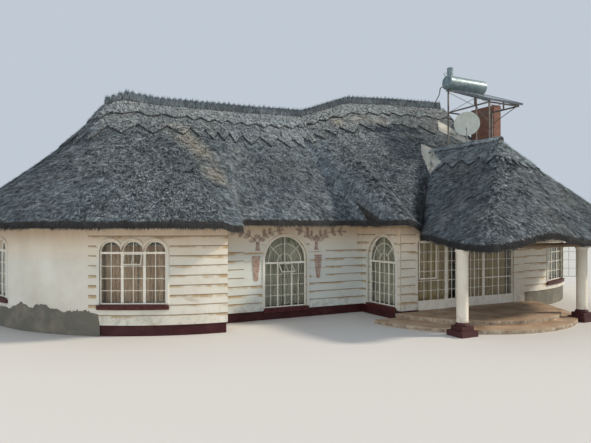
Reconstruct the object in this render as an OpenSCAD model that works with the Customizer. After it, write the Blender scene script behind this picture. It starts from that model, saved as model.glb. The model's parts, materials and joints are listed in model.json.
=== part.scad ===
// Thatched house with two round ends, a projecting wing and a glazed porch under its own thatch.
// The long ridge runs along X, the front faces -Y, and the origin is on the ground
// under the ridge, midway between the centres of the two round ends.

/* [Plan] */
// Distance between the centres of the two round ends
round_span = 10560; // [10400:20:10700]
// Outer radius of the left round end
left_r = 6480; // [6300:20:6600]
// Outer radius of the right round end
right_r = 6720; // [6600:20:6800]
// How far the left round centre lies behind the ridge line
left_set = 1080; // [950:10:1200]
// Distance from the ridge line to the outer face of the wing's front wall
wing_depth = 6120; // [6000:10:6250]
// Distance from the ridge line to the outer face of the back wall
back_depth = 4800; // [4600:20:5000]
// Distance from the ridge line to the outer face of the recessed centre wall
centre_depth = 4080; // [3950:10:4200]
// How far the bay wall stops short of the left round centre
bay_short = 432; // [380:4:480]
// Outer face of the wing's side wall, left of the origin
wing_left = 300; // [200:10:400]
// Thickness of the outer walls
wall_t = 230; // [200:5:260]

/* [Heights] */
// Height of the plinth above the ground
plinth_h = 290; // [240:10:330]
// Height of the plinth under the right round end
high_plinth_h = 590; // [500:10:700]
// How far the plinth stands back under the walls
plinth_back = 30; // [10:5:50]
// Height of the floor inside and on the porch
floor_h = 250; // [200:10:280]
// Height of the lower porch step
step_h = 120; // [90:5:140]
// Height of the grooved outer walls, up to the filling below the thatch
wall_h = 2740; // [2700:10:2760]

/* [Wall grooves] */
// Vertical distance between the grooves in the plaster
groove_pitch = 264; // [240:4:276]
// Height of one groove
groove_h = 26; // [16:2:36]
// Depth of one groove
groove_depth = 14; // [8:1:20]

/* [Windows] */
// Width of the large arched windows
arch_w = 1500; // [1400:10:1520]
// Height of the sill of the large arched windows
arch_sill = 360; // [340:10:420]
// Height of the crown of the large arched windows
arch_top = 2630; // [2550:10:2680]
// Width of one light of the triple windows
light_w = 590; // [540:5:620]
// Height of the sill of the triple windows
light_sill = 840; // [780:10:900]
// Height of the crowns of the triple windows
light_top = 2540; // [2450:10:2600]
// Width of the window in the right round end
round_win_w = 1900; // [1700:20:2000]
// Height of its sill
round_win_sill = 880; // [820:10:940]
// Height of its head
round_win_top = 2330; // [2250:10:2400]
// Depth of a steel window frame
frame_d = 45; // [35:1:55]
// Face width of a steel window frame
frame_w = 36; // [28:1:44]
// How far the frames stand behind the wall face
reveal = 110; // [90:5:130]
// Thickness of the glass
glass_t = 6; // [4:1:8]
// Thickness of the tiled sills
sill_t = 60; // [45:5:75]
// How far the sills stand proud of the wall
sill_out = 50; // [30:5:70]

/* [Porch] */
// Left edge of the glazed screen, from the origin
screen_left = 372; // [340:4:400]
// Right edge of the glazed screen
screen_right = 4740; // [4700:10:4800]
// How far the screen stands behind the wall face
screen_back = 70; // [50:5:90]
// Height of the head of the screen above the ground
screen_top = 2480; // [2440:10:2500]
// Width of one door leaf
leaf_w = 840; // [800:5:860]
// Running gap round the door leaves
door_gap = 6; // [5:1:8]
// Height of the kick panels in the screen and doors
kick_h = 310; // [260:10:360]
// Radius of the porch floor
porch_r = 3060; // [2950:10:3150]
// How far the porch floor's centre lies behind the wing's front face
porch_set = 360; // [300:10:420]
// Width of the lower step's tread
tread_w = 460; // [380:10:520]
// Distance between the two porch columns
column_gap = 5010; // [4900:10:5100]
// Distance of the columns in front of the wing's front face
column_out = 2570; // [2450:10:2650]
// Diameter of a column's shaft
column_d = 316; // [290:2:340]
// Height of the columns
column_h = 2300; // [2280:5:2330]
// Side of the column's base block
base_w = 576; // [520:8:620]

/* [Thatch] */
// How far the thatch reaches past the round walls
eave_out = 900; // [850:10:950]
// Height of the underside of the eaves
eave_h = 2880; // [2860:10:2900]
// Vertical thickness of the thatch
thatch_t = 300; // [260:10:320]
// Vertical thickness of the thatch at the cut edge of the eaves
nose_t = 170; // [140:10:200]
// Thickness of a scalloped ridge layer
cap_t = 90; // [60:10:110]
// Height of the row of reed bundles along the ridge
comb_h = 260; // [200:10:300]
// Distance between two reed bundles
comb_pitch = 210; // [180:10:260]

/* [Roof equipment] */
// Diameter of the hot water tank
tank_d = 580; // [500:10:640]
// Length of the hot water tank
tank_l = 2050; // [1900:10:2150]
// Height of the tank's centre
tank_z = 8900; // [8850:10:8950]
// Diameter of the dish
dish_d = 900; // [800:10:950]
// Side of the brick chimney along the ridge
chimney_w = 420; // [380:10:480]
// Side of the brick chimney across the ridge
chimney_l = 1350; // [1250:10:1400]
// Height of the chimney
chimney_h = 8350; // [8250:10:8450]

/* [Hidden] */
$fn = 64;
// Clearance of fitted pieces
fit = 0.4;
// Sides of a full circle of wall
ring_fn = 360;

// Plan points and lines
left_c = [-round_span / 2, left_set];
right_c = [round_span / 2, right_r - wing_depth];
back_y = back_depth;
centre_y = -centre_depth;
bay_x = left_c.x - bay_short;
wing_x = -wing_left;
front_y = -wing_depth;

// Colours
white_wall = "#ece6d8";
plinth_red = "#4a1f22";
steel_white = "#e8e4d6";
pane = "#8fa09a";
thatch_grey = "#6f7378";
thatch_tan = "#a08a6a";
stone_grey = "#8c8378";
screed = "#8a7668";
brick_red = "#9a4f38";
galvanised = "#9aa3a3";

// Walls
first_groove = plinth_h + 250;
groove_count = floor((wall_h - plinth_h) / groove_pitch);

// Section of a wall with its outer face at depth 0
function plain_section(t, z0, z1) = [[t, z0], [0, z0], [0, z1], [t, z1]];
function groove_heights(z0) = [for (k = [0 : groove_count - 1])
  let (z = first_groove + k * groove_pitch) if (z > z0 + groove_h && z < wall_h - 2 * groove_h) z];

module ring_wall(centre, r, a0, a1, section) {
  translate([centre.x, centre.y, 0])
    rotate([0, 0, a0])
      rotate_extrude(angle = a1 - a0, $fn = ring_fn)
        polygon([for (p = section) [r - p.x, p.y]]);
}

// A straight wall that faces -Y, from x0 to x1
module front_wall(x0, x1, y, section) {
  translate([x0, y, 0]) rotate([90, 0, 90]) linear_extrude(x1 - x0) polygon(section);
}

// A straight wall that faces -X, from y0 to y1
module side_wall(x, y0, y1, section) {
  translate([x, y1, 0]) rotate([90, 0, 0]) linear_extrude(y1 - y0) polygon(section);
}

// Horizontal grooves round a ring wall and along straight walls
module ring_grooves(centre, r, a0, a1, z0) {
  for (z = groove_heights(z0)) ring_wall(centre, r + 1, a0, a1, plain_section(groove_depth + 1, z, z + groove_h));
}

module front_grooves(x0, x1, y, z0) {
  for (z = groove_heights(z0)) translate([x0, y - 1, z]) cube([x1 - x0, groove_depth + 1, groove_h]);
}

module side_grooves(x, y0, y1, z0) {
  for (z = groove_heights(z0)) translate([x - 1, y0, z]) cube([groove_depth + 1, y1 - y0, groove_h]);
}

// Places children on a wall face: x along the wall, y up, z out of the wall
module on_face(p, a) {
  translate([p.x, p.y, 0]) rotate([0, 0, a + 90]) rotate([90, 0, 0]) children();
}

function on_ring(c, r, a) = [c.x + r * cos(a), c.y + r * sin(a)];

// Angles where the round walls meet the straight ones
left_back_a = 180 - asin((back_y - left_c.y) / left_r);
right_back_a = 360 + asin((back_y - right_c.y) / right_r);
bay_end_a = 268;
bay_start_a = 233;
plain_end_a = 233;
front_tan_a = 270;
right_split_a = 312;

// Window places
triple_w = 3 * light_w;
bay_win_a = 243.7;
end_win_a = 197.6;
round_win_a = 290.5;
centre_win_x = -3258;
wing_win_y = front_y + wall_t + arch_w / 2 + 30;
back_win_x = [-6300, 0, 6300];

// Outline of an arched light: straight sides with a half-round head
module arch_2d(w, h) {
  translate([-w / 2, 0]) square([w, h - w / 2]);
  translate([0, h - w / 2]) circle(d = w);
}

module arch_prism(w, z0, z1, depth) {
  translate([0, z0, -depth]) linear_extrude(2 * depth) arch_2d(w, z1 - z0);
}

module triple_2d(w, h) {
  for (k = [-1 : 1]) translate([k * w, 0]) arch_2d(w, h);
}

module triple_cut(depth) {
  translate([0, light_sill, -depth]) linear_extrude(2 * depth) triple_2d(light_w, light_top - light_sill);
  translate([-triple_w / 2, light_sill - sill_t, -depth]) cube([triple_w, sill_t + 1, 2 * depth]);
}

module arch_cut(depth) {
  arch_prism(arch_w, arch_sill, arch_top, depth);
  translate([-arch_w / 2, arch_sill - sill_t, -depth]) cube([arch_w, sill_t + 1, 2 * depth]);
}

module round_win_cut(depth) {
  translate([-round_win_w / 2, round_win_sill - sill_t, -depth])
    cube([round_win_w, round_win_top - round_win_sill + sill_t, 2 * depth]);
}

// The plaster stays smooth round the windows
wall_margin = 90;
relief_w = 700;

module arch_margin() {
  arch_prism(arch_w + 2 * wall_margin, arch_sill - sill_t, arch_top + wall_margin, wall_t);
}

// Round the window between the two plaster reliefs the smooth field is wider above
module relief_margin() {
  arch_margin();
  translate([-arch_w / 2 - relief_w, arch_sill + 840, -wall_t])
    cube([arch_w + 2 * relief_w, wall_h - arch_sill - 840, 2 * wall_t]);
}

module triple_margin() {
  translate([-triple_w / 2 - wall_margin, light_sill - sill_t - wall_margin, -wall_t])
    cube([triple_w + 2 * wall_margin, light_top - light_sill + sill_t + 2 * wall_margin, 2 * wall_t]);
}

module round_win_margin() {
  translate([-round_win_w / 2 - wall_margin, round_win_sill - sill_t, -wall_t])
    cube([round_win_w + 2 * wall_margin, round_win_top - round_win_sill + sill_t + wall_margin, 2 * wall_t]);
}

module left_end_wall() {
  color(white_wall) difference() {
    ring_wall(left_c, left_r, left_back_a, plain_end_a, plain_section(wall_t, plinth_h, wall_h));
    on_face(on_ring(left_c, left_r, end_win_a), end_win_a) triple_cut(2 * wall_t);
  }
}

module bay_wall() {
  color(white_wall) difference() {
    ring_wall(left_c, left_r, bay_start_a, bay_end_a, plain_section(wall_t, plinth_h, wall_h));
    translate([bay_x, left_c.y - left_r - 1, 0]) cube([2 * wall_t, 2 * wall_t, 2 * wall_h]);
    on_face(on_ring(left_c, left_r, bay_win_a), bay_win_a) triple_cut(2 * wall_t);
    difference() {
      ring_grooves(left_c, left_r, bay_start_a - 1, bay_end_a + 1, plinth_h);
      on_face(on_ring(left_c, left_r, bay_win_a), bay_win_a) triple_margin();
    }
  }
}

// The bay's end wall meets the inside of the round wall
module bay_return(z0, z1, t) {
  intersection() {
    translate([bay_x - wall_t, left_c.y - left_r, z0]) cube([t, centre_y - left_c.y + left_r, z1 - z0]);
    translate([left_c.x, left_c.y, z0]) cylinder(r = left_r - wall_t - fit, h = z1 - z0, $fn = ring_fn);
  }
}

module bay_return_wall() { color(white_wall) bay_return(plinth_h, wall_h, wall_t); }

module centre_wall() {
  color(white_wall) difference() {
    front_wall(bay_x - wall_t, wing_x, centre_y, plain_section(wall_t, plinth_h, wall_h));
    on_face([centre_win_x, centre_y], 270) arch_cut(2 * wall_t);
    difference() {
      front_grooves(bay_x, wing_x, centre_y, plinth_h);
      on_face([centre_win_x, centre_y], 270) relief_margin();
    }
  }
}

module wing_side_wall() {
  color(white_wall) difference() {
    side_wall(wing_x, front_y + wall_t, centre_y, plain_section(wall_t, plinth_h, wall_h));
    on_face([wing_x, wing_win_y], 180) arch_cut(2 * wall_t);
    difference() {
      side_grooves(wing_x, front_y, centre_y + 1, plinth_h);
      on_face([wing_x, wing_win_y], 180) arch_margin();
    }
  }
}

module wing_return_wall() {
  color(white_wall) difference() {
    front_wall(wing_x, screen_left, front_y, plain_section(wall_t, plinth_h, wall_h));
    front_grooves(wing_x - 1, screen_left - wall_margin, front_y, plinth_h);
    side_grooves(wing_x, front_y - 1, front_y + wall_t + 1, plinth_h);
  }
}

module porch_lintel() {
  color(white_wall) translate([screen_left, front_y, screen_top])
    cube([screen_right - screen_left, wall_t, wall_h - screen_top]);
}

module porch_pier_wall() {
  color(white_wall) difference() {
    front_wall(screen_right, right_c.x, front_y, plain_section(wall_t, floor_h, wall_h));
    front_grooves(screen_right + wall_margin, right_c.x + 1, front_y, floor_h);
  }
}

module right_end_wall() {
  color(white_wall) difference() {
    ring_wall(right_c, right_r, front_tan_a, right_split_a, plain_section(wall_t, high_plinth_h, wall_h));
    on_face(on_ring(right_c, right_r, round_win_a), round_win_a) round_win_cut(2 * wall_t);
    difference() {
      ring_grooves(right_c, right_r, front_tan_a - 1, right_split_a + 1, high_plinth_h);
      on_face(on_ring(right_c, right_r, round_win_a), round_win_a) round_win_margin();
    }
  }
}

module right_rear_wall() {
  color(white_wall) difference() {
    ring_wall(right_c, right_r, right_split_a, right_back_a, plain_section(wall_t, high_plinth_h, wall_h));
    ring_grooves(right_c, right_r, right_split_a - 1, right_back_a + 1, high_plinth_h);
  }
}

back_left_x = on_ring(left_c, left_r, left_back_a).x;
back_right_x = on_ring(right_c, right_r, right_back_a).x;

// The straight back wall fits between the cut ends of the two round ends
module back_between(z0, z1, y_out, t) {
  difference() {
    translate([back_left_x, y_out - t, z0]) cube([back_right_x - back_left_x, t, z1 - z0]);
    translate([left_c.x, left_c.y, z0 - 1]) rotate(left_back_a)
      translate([0, -fit / 2, 0]) cube([2 * left_r, wall_t, z1 - z0 + 2]);
    translate([right_c.x, right_c.y, z0 - 1]) rotate(right_back_a)
      translate([0, fit / 2 - wall_t, 0]) cube([2 * right_r, wall_t, z1 - z0 + 2]);
  }
}

module back_wall() {
  color(white_wall) difference() {
    back_between(plinth_h, wall_h, back_y, wall_t);
    for (x = back_win_x) on_face([x, back_y], 90) triple_cut(2 * wall_t);
  }
}

// Plinths
plinth_t = wall_t - plinth_back;

module red_plinth() {
  color(plinth_red) {
    difference() {
      ring_wall(left_c, left_r - plinth_back, left_back_a, bay_end_a, plain_section(plinth_t, 0, plinth_h));
      translate([bay_x - plinth_back, left_c.y - left_r - 1, -1]) cube([2 * wall_t, 2 * wall_t, plinth_h + 2]);
    }
    back_between(0, plinth_h, back_y - plinth_back, plinth_t);
    bay_return(0, plinth_h, plinth_t);
    translate([bay_x - wall_t, centre_y + plinth_back, 0])
      cube([wing_x - bay_x + 2 * wall_t, plinth_t, plinth_h]);
    translate([wing_x - plinth_back, front_y - plinth_back, 0])
      cube([wall_t + plinth_back, centre_y + wall_t - front_y + plinth_back, plinth_h]);
    translate([wing_x, front_y - plinth_back, 0])
      cube([screen_left - wing_x, wall_t + plinth_back, plinth_h]);
  }
}

module right_plinth() {
  color(stone_grey)
    ring_wall(right_c, right_r - plinth_back, front_tan_a, right_back_a,
              plain_section(plinth_t, 0, high_plinth_h));
}

// Floor inside the walls
module floor_slab() {
  inner_l = left_r - wall_t - fit;
  inner_r = right_r - wall_t - fit;
  back_in = back_y - wall_t - fit;
  centre_in = centre_y + wall_t + fit;
  wing_in = wing_x + wall_t + fit;
  color(screed) difference() {
    union() {
      intersection() {
        translate([left_c.x, left_c.y, 0]) cylinder(r = inner_l, h = floor_h, $fn = ring_fn);
        translate([left_c.x - inner_l, -left_r, 0])
          cube([bay_x - wall_t - fit - left_c.x + inner_l, left_r + back_in, floor_h]);
      }
      intersection() {
        translate([right_c.x, right_c.y, 0]) cylinder(r = inner_r, h = floor_h, $fn = ring_fn);
        translate([right_c.x, -right_r, 0]) cube([inner_r, right_r + back_in, floor_h]);
      }
      translate([bay_x - wall_t - fit, centre_in, 0]) cube([wing_in - bay_x + wall_t + fit, back_in - centre_in, floor_h]);
      translate([wing_in, front_y + wall_t, 0]) cube([right_c.x - wing_in, back_in - front_y - wall_t, floor_h]);
    }
    translate([chimney_x - fit, chimney_y - fit, -1])
      cube([chimney_w + 2 * fit, chimney_l + 2 * fit, floor_h + 2]);
  }
}

// Steel windows
bar_w = 16;
bar_d = 22;

module arch_ring(w, h) {
  difference() {
    arch_2d(w - 2 * fit, h - fit);
    translate([0, frame_w]) arch_2d(w - 2 * frame_w, h - 2 * frame_w);
  }
}

// Frame of a large arched window: transom at the spring of the head, three lights, fan bars above
module arched_frame() {
  h = arch_top - arch_sill;
  spring = h - arch_w / 2 - 140;
  inner_w = arch_w - 2 * frame_w;
  translate([0, arch_sill, -reveal - frame_d]) {
    linear_extrude(frame_d) arch_ring(arch_w, h);
    translate([0, 0, frame_d - bar_d]) {
      translate([-inner_w / 2, spring, 0]) cube([inner_w, 60, bar_d]);
      for (s = [-1, 1]) translate([s * arch_w / 6 - 22, frame_w - 1, 0]) cube([44, spring - frame_w + 2, bar_d]);
      linear_extrude(bar_d) intersection() {
        translate([0, frame_w]) arch_2d(inner_w + 2, h - 2 * frame_w + 2);
        translate([0, spring + 60]) union() {
          for (r = [arch_w / 6 + 4, arch_w * 0.385]) difference() {
            circle(r = r + bar_w / 2);
            circle(r = r - bar_w / 2);
            translate([-2 * r, -4 * r]) square([4 * r, 4 * r]);
          }
          for (a = [45, 90, 135]) rotate(a) translate([arch_w / 6, -bar_w / 2]) square([arch_w, bar_w]);
        }
      }
    }
  }
}

module triple_frame() {
  h = light_top - light_sill;
  spring = h - light_w / 2 - 60;
  translate([0, light_sill, -reveal - frame_d]) {
    linear_extrude(frame_d) difference() {
      offset_lights(fit);
      for (k = [-1 : 1]) translate([k * light_w, frame_w]) arch_2d(light_w - 2 * frame_w, h - 2 * frame_w);
    }
    translate([-triple_w / 2 + frame_w / 2, spring, frame_d - bar_d])
      cube([triple_w - frame_w, 56, bar_d]);
    for (k = [-1 : 1]) translate([k * light_w - bar_w / 2, frame_w - 1, frame_d - bar_d])
      cube([bar_w, h - 2 * frame_w + 2, bar_d]);
  }
}

// The three lights side by side, a little smaller than the hole
module offset_lights(gap) {
  h = light_top - light_sill;
  translate([-triple_w / 2 + gap, 0]) square([triple_w - 2 * gap, h - light_w / 2]);
  for (k = [-1 : 1]) translate([k * light_w, h - light_w / 2]) circle(d = light_w - 2 * gap);
}

module round_window_frame() {
  h = round_win_top - round_win_sill - fit;
  w = round_win_w - 2 * fit;
  translate([0, round_win_sill, -reveal - frame_d]) {
    linear_extrude(frame_d) difference() {
      translate([-w / 2, 0]) square([w, h]);
      translate([-w / 2 + frame_w, frame_w]) square([w - 2 * frame_w, h - 2 * frame_w]);
    }
    for (x = [-w / 6, w / 6]) translate([x - 20, frame_w - 1, frame_d - bar_d])
      cube([40, h - 2 * frame_w + 2, bar_d]);
  }
}

module at_bay_window() { on_face(on_ring(left_c, left_r, bay_win_a), bay_win_a) children(); }
module at_end_window() { on_face(on_ring(left_c, left_r, end_win_a), end_win_a) children(); }
module at_round_window() { on_face(on_ring(right_c, right_r, round_win_a), round_win_a) children(); }
module at_back_windows() { for (x = back_win_x) on_face([x, back_y], 90) children(); }

module casement_windows() {
  color(steel_white) {
    at_bay_window() triple_frame();
    at_end_window() triple_frame();
    at_back_windows() triple_frame();
    at_round_window() round_window_frame();
  }
}

module arched_windows() {
  color(steel_white) {
    on_face([centre_win_x, centre_y], 270) arched_frame();
    on_face([wing_x, wing_win_y], 180) arched_frame();
  }
}

module triple_glass() {
  h = light_top - light_sill;
  translate([0, light_sill, -reveal - bar_d - glass_t - fit]) linear_extrude(glass_t)
    for (k = [-1 : 1]) translate([k * light_w, frame_w + fit])
      arch_2d(light_w - 2 * frame_w - 2 * fit, h - 2 * frame_w - 2 * fit);
}

module arched_glass() {
  h = arch_top - arch_sill;
  translate([0, arch_sill + frame_w + fit, -reveal - bar_d - glass_t - fit])
    linear_extrude(glass_t) arch_2d(arch_w - 2 * frame_w - 2 * fit, h - 2 * frame_w - 2 * fit);
}

module round_glass() {
  h = round_win_top - round_win_sill - 2 * frame_w - 3 * fit;
  w = round_win_w - 2 * frame_w - 4 * fit;
  translate([-w / 2, round_win_sill + frame_w + fit, -reveal - bar_d - glass_t - fit]) cube([w, h, glass_t]);
}

module window_glass() {
  color(pane) {
    at_bay_window() triple_glass();
    at_end_window() triple_glass();
    at_back_windows() triple_glass();
    on_face([centre_win_x, centre_y], 270) arched_glass();
    on_face([wing_x, wing_win_y], 180) arched_glass();
    at_round_window() round_glass();
  }
}

module straight_sill(w, z) {
  translate([-w / 2 + fit, z - sill_t, -wall_t]) cube([w - 2 * fit, sill_t, wall_t + sill_out]);
}

module round_sill(c, r, a, w, z) {
  intersection() {
    translate([c.x, c.y, z - sill_t]) difference() {
      cylinder(r = r + sill_out, h = sill_t, $fn = ring_fn);
      translate([0, 0, -1]) cylinder(r = r - wall_t, h = sill_t + 2, $fn = ring_fn);
    }
    on_face(on_ring(c, r, a), a)
      translate([-w / 2 + fit, z - sill_t, -2 * wall_t]) cube([w - 2 * fit, sill_t, 4 * wall_t]);
  }
}

module window_sills() {
  color(plinth_red) {
    round_sill(left_c, left_r, bay_win_a, triple_w, light_sill);
    round_sill(left_c, left_r, end_win_a, triple_w, light_sill);
    round_sill(right_c, right_r, round_win_a, round_win_w, round_win_sill);
    at_back_windows() straight_sill(triple_w, light_sill);
    on_face([centre_win_x, centre_y], 270) straight_sill(arch_w, arch_sill);
    on_face([wing_x, wing_win_y], 180) straight_sill(arch_w, arch_sill);
  }
}

// Porch screen
screen_y = front_y + screen_back;
door_mid = 2480;
door_x0 = door_mid - leaf_w - 1.5 * door_gap;
door_x1 = door_mid + leaf_w + 1.5 * door_gap;
post_w = 50;
screen_h = screen_top - floor_h;
leaf_d = 40;
leaf_h = screen_h - 60 - 2 * door_gap;
hinge_d = 18;
pin_d = 10;
hinge_y = screen_y - hinge_d / 2 - 3;
hinge_z = [floor_h + 350, floor_h + 1750];
knuckle_h = 50;

module screen_bay(x0, x1) {
  w = x1 - x0;
  difference() {
    translate([x0, screen_y, floor_h]) cube([w, frame_d, screen_h]);
    translate([x0 + post_w, screen_y - 1, floor_h + kick_h])
      cube([w - 2 * post_w, frame_d + 2, screen_h - kick_h - 60]);
    translate([x0 + post_w, screen_y - 1, floor_h + 40]) cube([w - 2 * post_w, 15, kick_h - 80]);
  }
}

module porch_screen() {
  color(steel_white) {
    screen_bay(screen_left, door_x0);
    screen_bay(door_x1, screen_right);
    translate([door_x0 - 1, screen_y, screen_top - 60]) cube([door_x1 - door_x0 + 2, frame_d, 60]);
    for (side = [-1, 1]) for (z = hinge_z) {
      x = side < 0 ? door_x0 : door_x1;
      translate([x, hinge_y, z - knuckle_h]) cylinder(d = hinge_d, h = knuckle_h);
      translate([x, hinge_y, z - 1]) cylinder(d = pin_d, h = knuckle_h);
      translate([side < 0 ? x - 30 : x - 3, hinge_y - 2, z - knuckle_h]) cube([33, 4, knuckle_h]);
      translate([side < 0 ? x - 30 : x + 26, hinge_y - 2, z - knuckle_h]) cube([4, hinge_d / 2 + 7, knuckle_h]);
    }
  }
}

module pane_between(x0, x1, z0, z1) {
  translate([x0 + fit, screen_y + bar_d + fit, z0 + fit]) cube([x1 - x0 - 2 * fit, glass_t, z1 - z0 - 2 * fit]);
}

module screen_glass() {
  color(pane) {
    pane_between(screen_left + post_w, door_x0 - post_w, floor_h + kick_h, screen_top - 60);
    pane_between(door_x1 + post_w, screen_right - post_w, floor_h + kick_h, screen_top - 60);
  }
}

stile = 55;

// One leaf with its hinge edge at x0 and its face on the screen's front plane; side is 1 for the left leaf
module door_leaf(x0, side) {
  mirror_x = side > 0 ? 0 : 1;
  translate([x0, 0, 0]) mirror([mirror_x, 0, 0]) {
    difference() {
      translate([door_gap, screen_y, floor_h + door_gap]) cube([leaf_w, leaf_d, leaf_h]);
      translate([door_gap + stile, screen_y - 1, floor_h + kick_h])
        cube([leaf_w - 2 * stile, leaf_d + 2, leaf_h - kick_h - stile]);
      translate([door_gap + stile, screen_y - 1, floor_h + 60]) cube([leaf_w - 2 * stile, 15, kick_h - 100]);
    }
    translate([door_gap + leaf_w / 2 - 15, screen_y, floor_h + kick_h - 1])
      cube([30, bar_d, leaf_h - kick_h - stile + 2]);
    for (z = hinge_z) {
      difference() {
        union() {
          translate([0, hinge_y, z + 1]) cylinder(d = hinge_d, h = knuckle_h);
          translate([0, hinge_y - 2, z + 1]) cube([34, 4, knuckle_h]);
          translate([30, hinge_y - 2, z + 1]) cube([4, hinge_d / 2 + 7, knuckle_h]);
        }
        translate([0, hinge_y, z]) cylinder(d = pin_d + 0.6, h = knuckle_h + 2);
      }
    }
  }
}

module leaf_glass(x0, side) {
  mirror_x = side > 0 ? 0 : 1;
  translate([x0, 0, 0]) mirror([mirror_x, 0, 0])
    pane_between(door_gap + stile, door_gap + leaf_w - stile, floor_h + kick_h, floor_h + leaf_h - stile);
}

module lever(x) {
  translate([x, screen_y - 4, floor_h + 1000]) cube([24, 4, 160]);
  translate([x + 12, screen_y - 4, floor_h + 1080]) rotate([90, 0, 0]) cylinder(d = 14, h = 40);
  translate([x + 5, screen_y - 50, floor_h + 1073]) cube([110, 14, 14]);
}

module porch_door_left() {
  color(steel_white) {
    door_leaf(door_x0, 1);
    translate([2 * (door_x0 + door_gap + leaf_w - stile / 2), 0, 0]) mirror([1, 0, 0])
      lever(door_x0 + door_gap + leaf_w - stile / 2 - 12);
  }
}

module porch_door_right() {
  color(steel_white) {
    door_leaf(door_x1, -1);
    lever(door_x1 - door_gap - leaf_w + stile / 2 - 12);
  }
}

module left_door_glass() { color(pane) leaf_glass(door_x0, 1); }
module right_door_glass() { color(pane) leaf_glass(door_x1, -1); }

// Porch floor, step, columns and beams
porch_c = [(screen_left + screen_right) / 2, front_y + porch_set];
step_c = [porch_c.x - 240, porch_c.y];
step_r = porch_r + tread_w + 140;
column_x = [wing_x, wing_x + column_gap];
column_y = front_y - column_out;
porch_back = front_y - plinth_back;

module porch_column_blocks(grow) {
  for (x = column_x) translate([x - base_w / 2 - grow, column_y - base_w / 2 - grow, -1])
    cube([base_w + 2 * grow, base_w + 2 * grow, floor_h + 50]);
}

module porch_floor() {
  color(screed) difference() {
    translate([porch_c.x, porch_c.y, 0]) cylinder(r = porch_r, h = floor_h, $fn = ring_fn);
    translate([porch_c.x - 2 * porch_r, porch_back, -1]) cube([4 * porch_r, 2 * porch_r, floor_h + 2]);
  }
  color(screed) translate([screen_left, porch_back, 0])
    cube([screen_right - screen_left, wall_t + plinth_back, floor_h]);
  color(screed) translate([screen_right, porch_back, 0])
    cube([right_c.x - screen_right, wall_t + plinth_back, floor_h]);
}

module porch_step() {
  color(screed) difference() {
    translate([step_c.x, step_c.y, 0]) cylinder(r = step_r, h = step_h, $fn = ring_fn);
    translate([porch_c.x, porch_c.y, -1]) cylinder(r = porch_r, h = step_h + 2, $fn = ring_fn);
    translate([step_c.x - 2 * step_r, porch_back, -1]) cube([4 * step_r, 2 * step_r, step_h + 2]);
    porch_column_blocks(fit);
    translate([right_c.x, right_c.y, -1]) cylinder(r = right_r - plinth_back, h = step_h + 2, $fn = ring_fn);
  }
}

// Column with a moulded foot and a flared head, on a stepped square base
module column() {
  base_h = 150;
  foot_h = 270;
  translate([-base_w / 2, -base_w / 2, 0]) cube([base_w, base_w, base_h]);
  translate([0, 0, base_h]) translate([-base_w * 0.36, -base_w * 0.36, 0])
    cube([base_w * 0.72, base_w * 0.72, foot_h - base_h]);
  r = column_d / 2;
  translate([0, 0, foot_h]) rotate_extrude($fn = 64) polygon([
    [0, 0], [r * 1.2, 0], [r * 1.24, 25], [r * 1.2, 50], [r * 1.05, 65], [r, 100],
    [r * 0.98, column_h - foot_h - 160], [r * 1.05, column_h - foot_h - 110],
    [r * 1.05, column_h - foot_h - 80], [r * 1.22, column_h - foot_h - 30],
    [r * 1.22, column_h - foot_h], [0, column_h - foot_h]
  ]);
}

module porch_columns() {
  color(white_wall) for (x = column_x) translate([x, column_y, 0]) column();
}

beam_d = 130;

module pole(p, q) {
  v = q - p;
  translate(p) rotate([0, acos(v.z / norm(v)), atan2(v.y, v.x)]) cylinder(d = beam_d, h = norm(v));
}

module porch_beams() {
  z = column_h + beam_d / 2;
  inset = beam_d / 2;
  color(thatch_tan) {
    pole([column_x[0] + column_d / 4, column_y, z], [column_x[1] + column_d / 2, column_y, z]);
  }
}

// Roof: stations run anticlockwise round the house, each with an eave point and a ridge point
ridge_l = -8200;
ridge_r = 7128;
ridge_line = [[-8300, 6880], [-7600, 7200], [-6600, 7110], [-3200, 7170], [-600, 7260],
              [1584, 8060], [4000, 8240], [7200, 8380]];
function ridge_at(x) = [x, 0, lookup(x, ridge_line)];

rows = 7;
row_power = 1.3;
row_t = [for (j = [0 : rows]) pow(j / rows, row_power)];
sag = 0.85;
wing_sag = 1;
ridge_gap = 60;
nose_cut = thatch_t - nose_t;

left_eave_r = left_r + eave_out;
right_eave_r = right_r + eave_out - 50;
back_eave_y = back_y + eave_out - 50;
centre_eave_y = centre_y - eave_out + 180;
front_eave_y = front_y - eave_out + 300;
bay_eave_x = bay_x + eave_out - 560;
wing_eave_x = wing_x - eave_out + 240;
bay_ridge_x = bay_x + 112;
valley_ridge_x = 900;
corner_r = 800;
fillet_r = 500;
centre_rise = 80;
corner_drop = 90;

wing_ridge_x = 3600;
wing_ridge_z = 5750;
valley_y = front_y + 3020;
wing_front_y = front_y - 360;
valley_top = [wing_ridge_x, valley_y, wing_ridge_z];
valley_left = [240, front_y - 300, 2510];
valley_right_a = 294;
valley_right = [for (v = [on_ring(right_c, right_eave_r, valley_right_a)]) each [v.x, v.y, eave_h]];
valley_step = 270;

function blend(a, b, f) = a + (b - a) * f;
function arc_points(c, r, a0, a1, n, z) =
  [for (k = [0 : n]) let (a = blend(a0, a1, k / n)) [c.x + r * cos(a), c.y + r * sin(a), z]];

left_back_eave_a = 180 - asin((back_eave_y - left_c.y) / left_eave_r);
right_back_eave_a = 360 + asin((back_eave_y - right_c.y) / right_eave_r);
hip_a = 228;
corner_a = 270 - acos(-(bay_eave_x - corner_r - left_c.x) / left_eave_r) + 90;
left_front_a = 270 + asin((bay_eave_x - corner_r - left_c.x) / left_eave_r);
corner_y = left_c.y + left_eave_r * sin(left_front_a);

// Station: [eave point with the height of its underside, ridge point]
function fan(points, x0, x1) =
  let (n = len(points) - 1) [for (k = [0 : n]) [points[k], ridge_at(blend(x0, x1, k / n))]];

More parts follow.
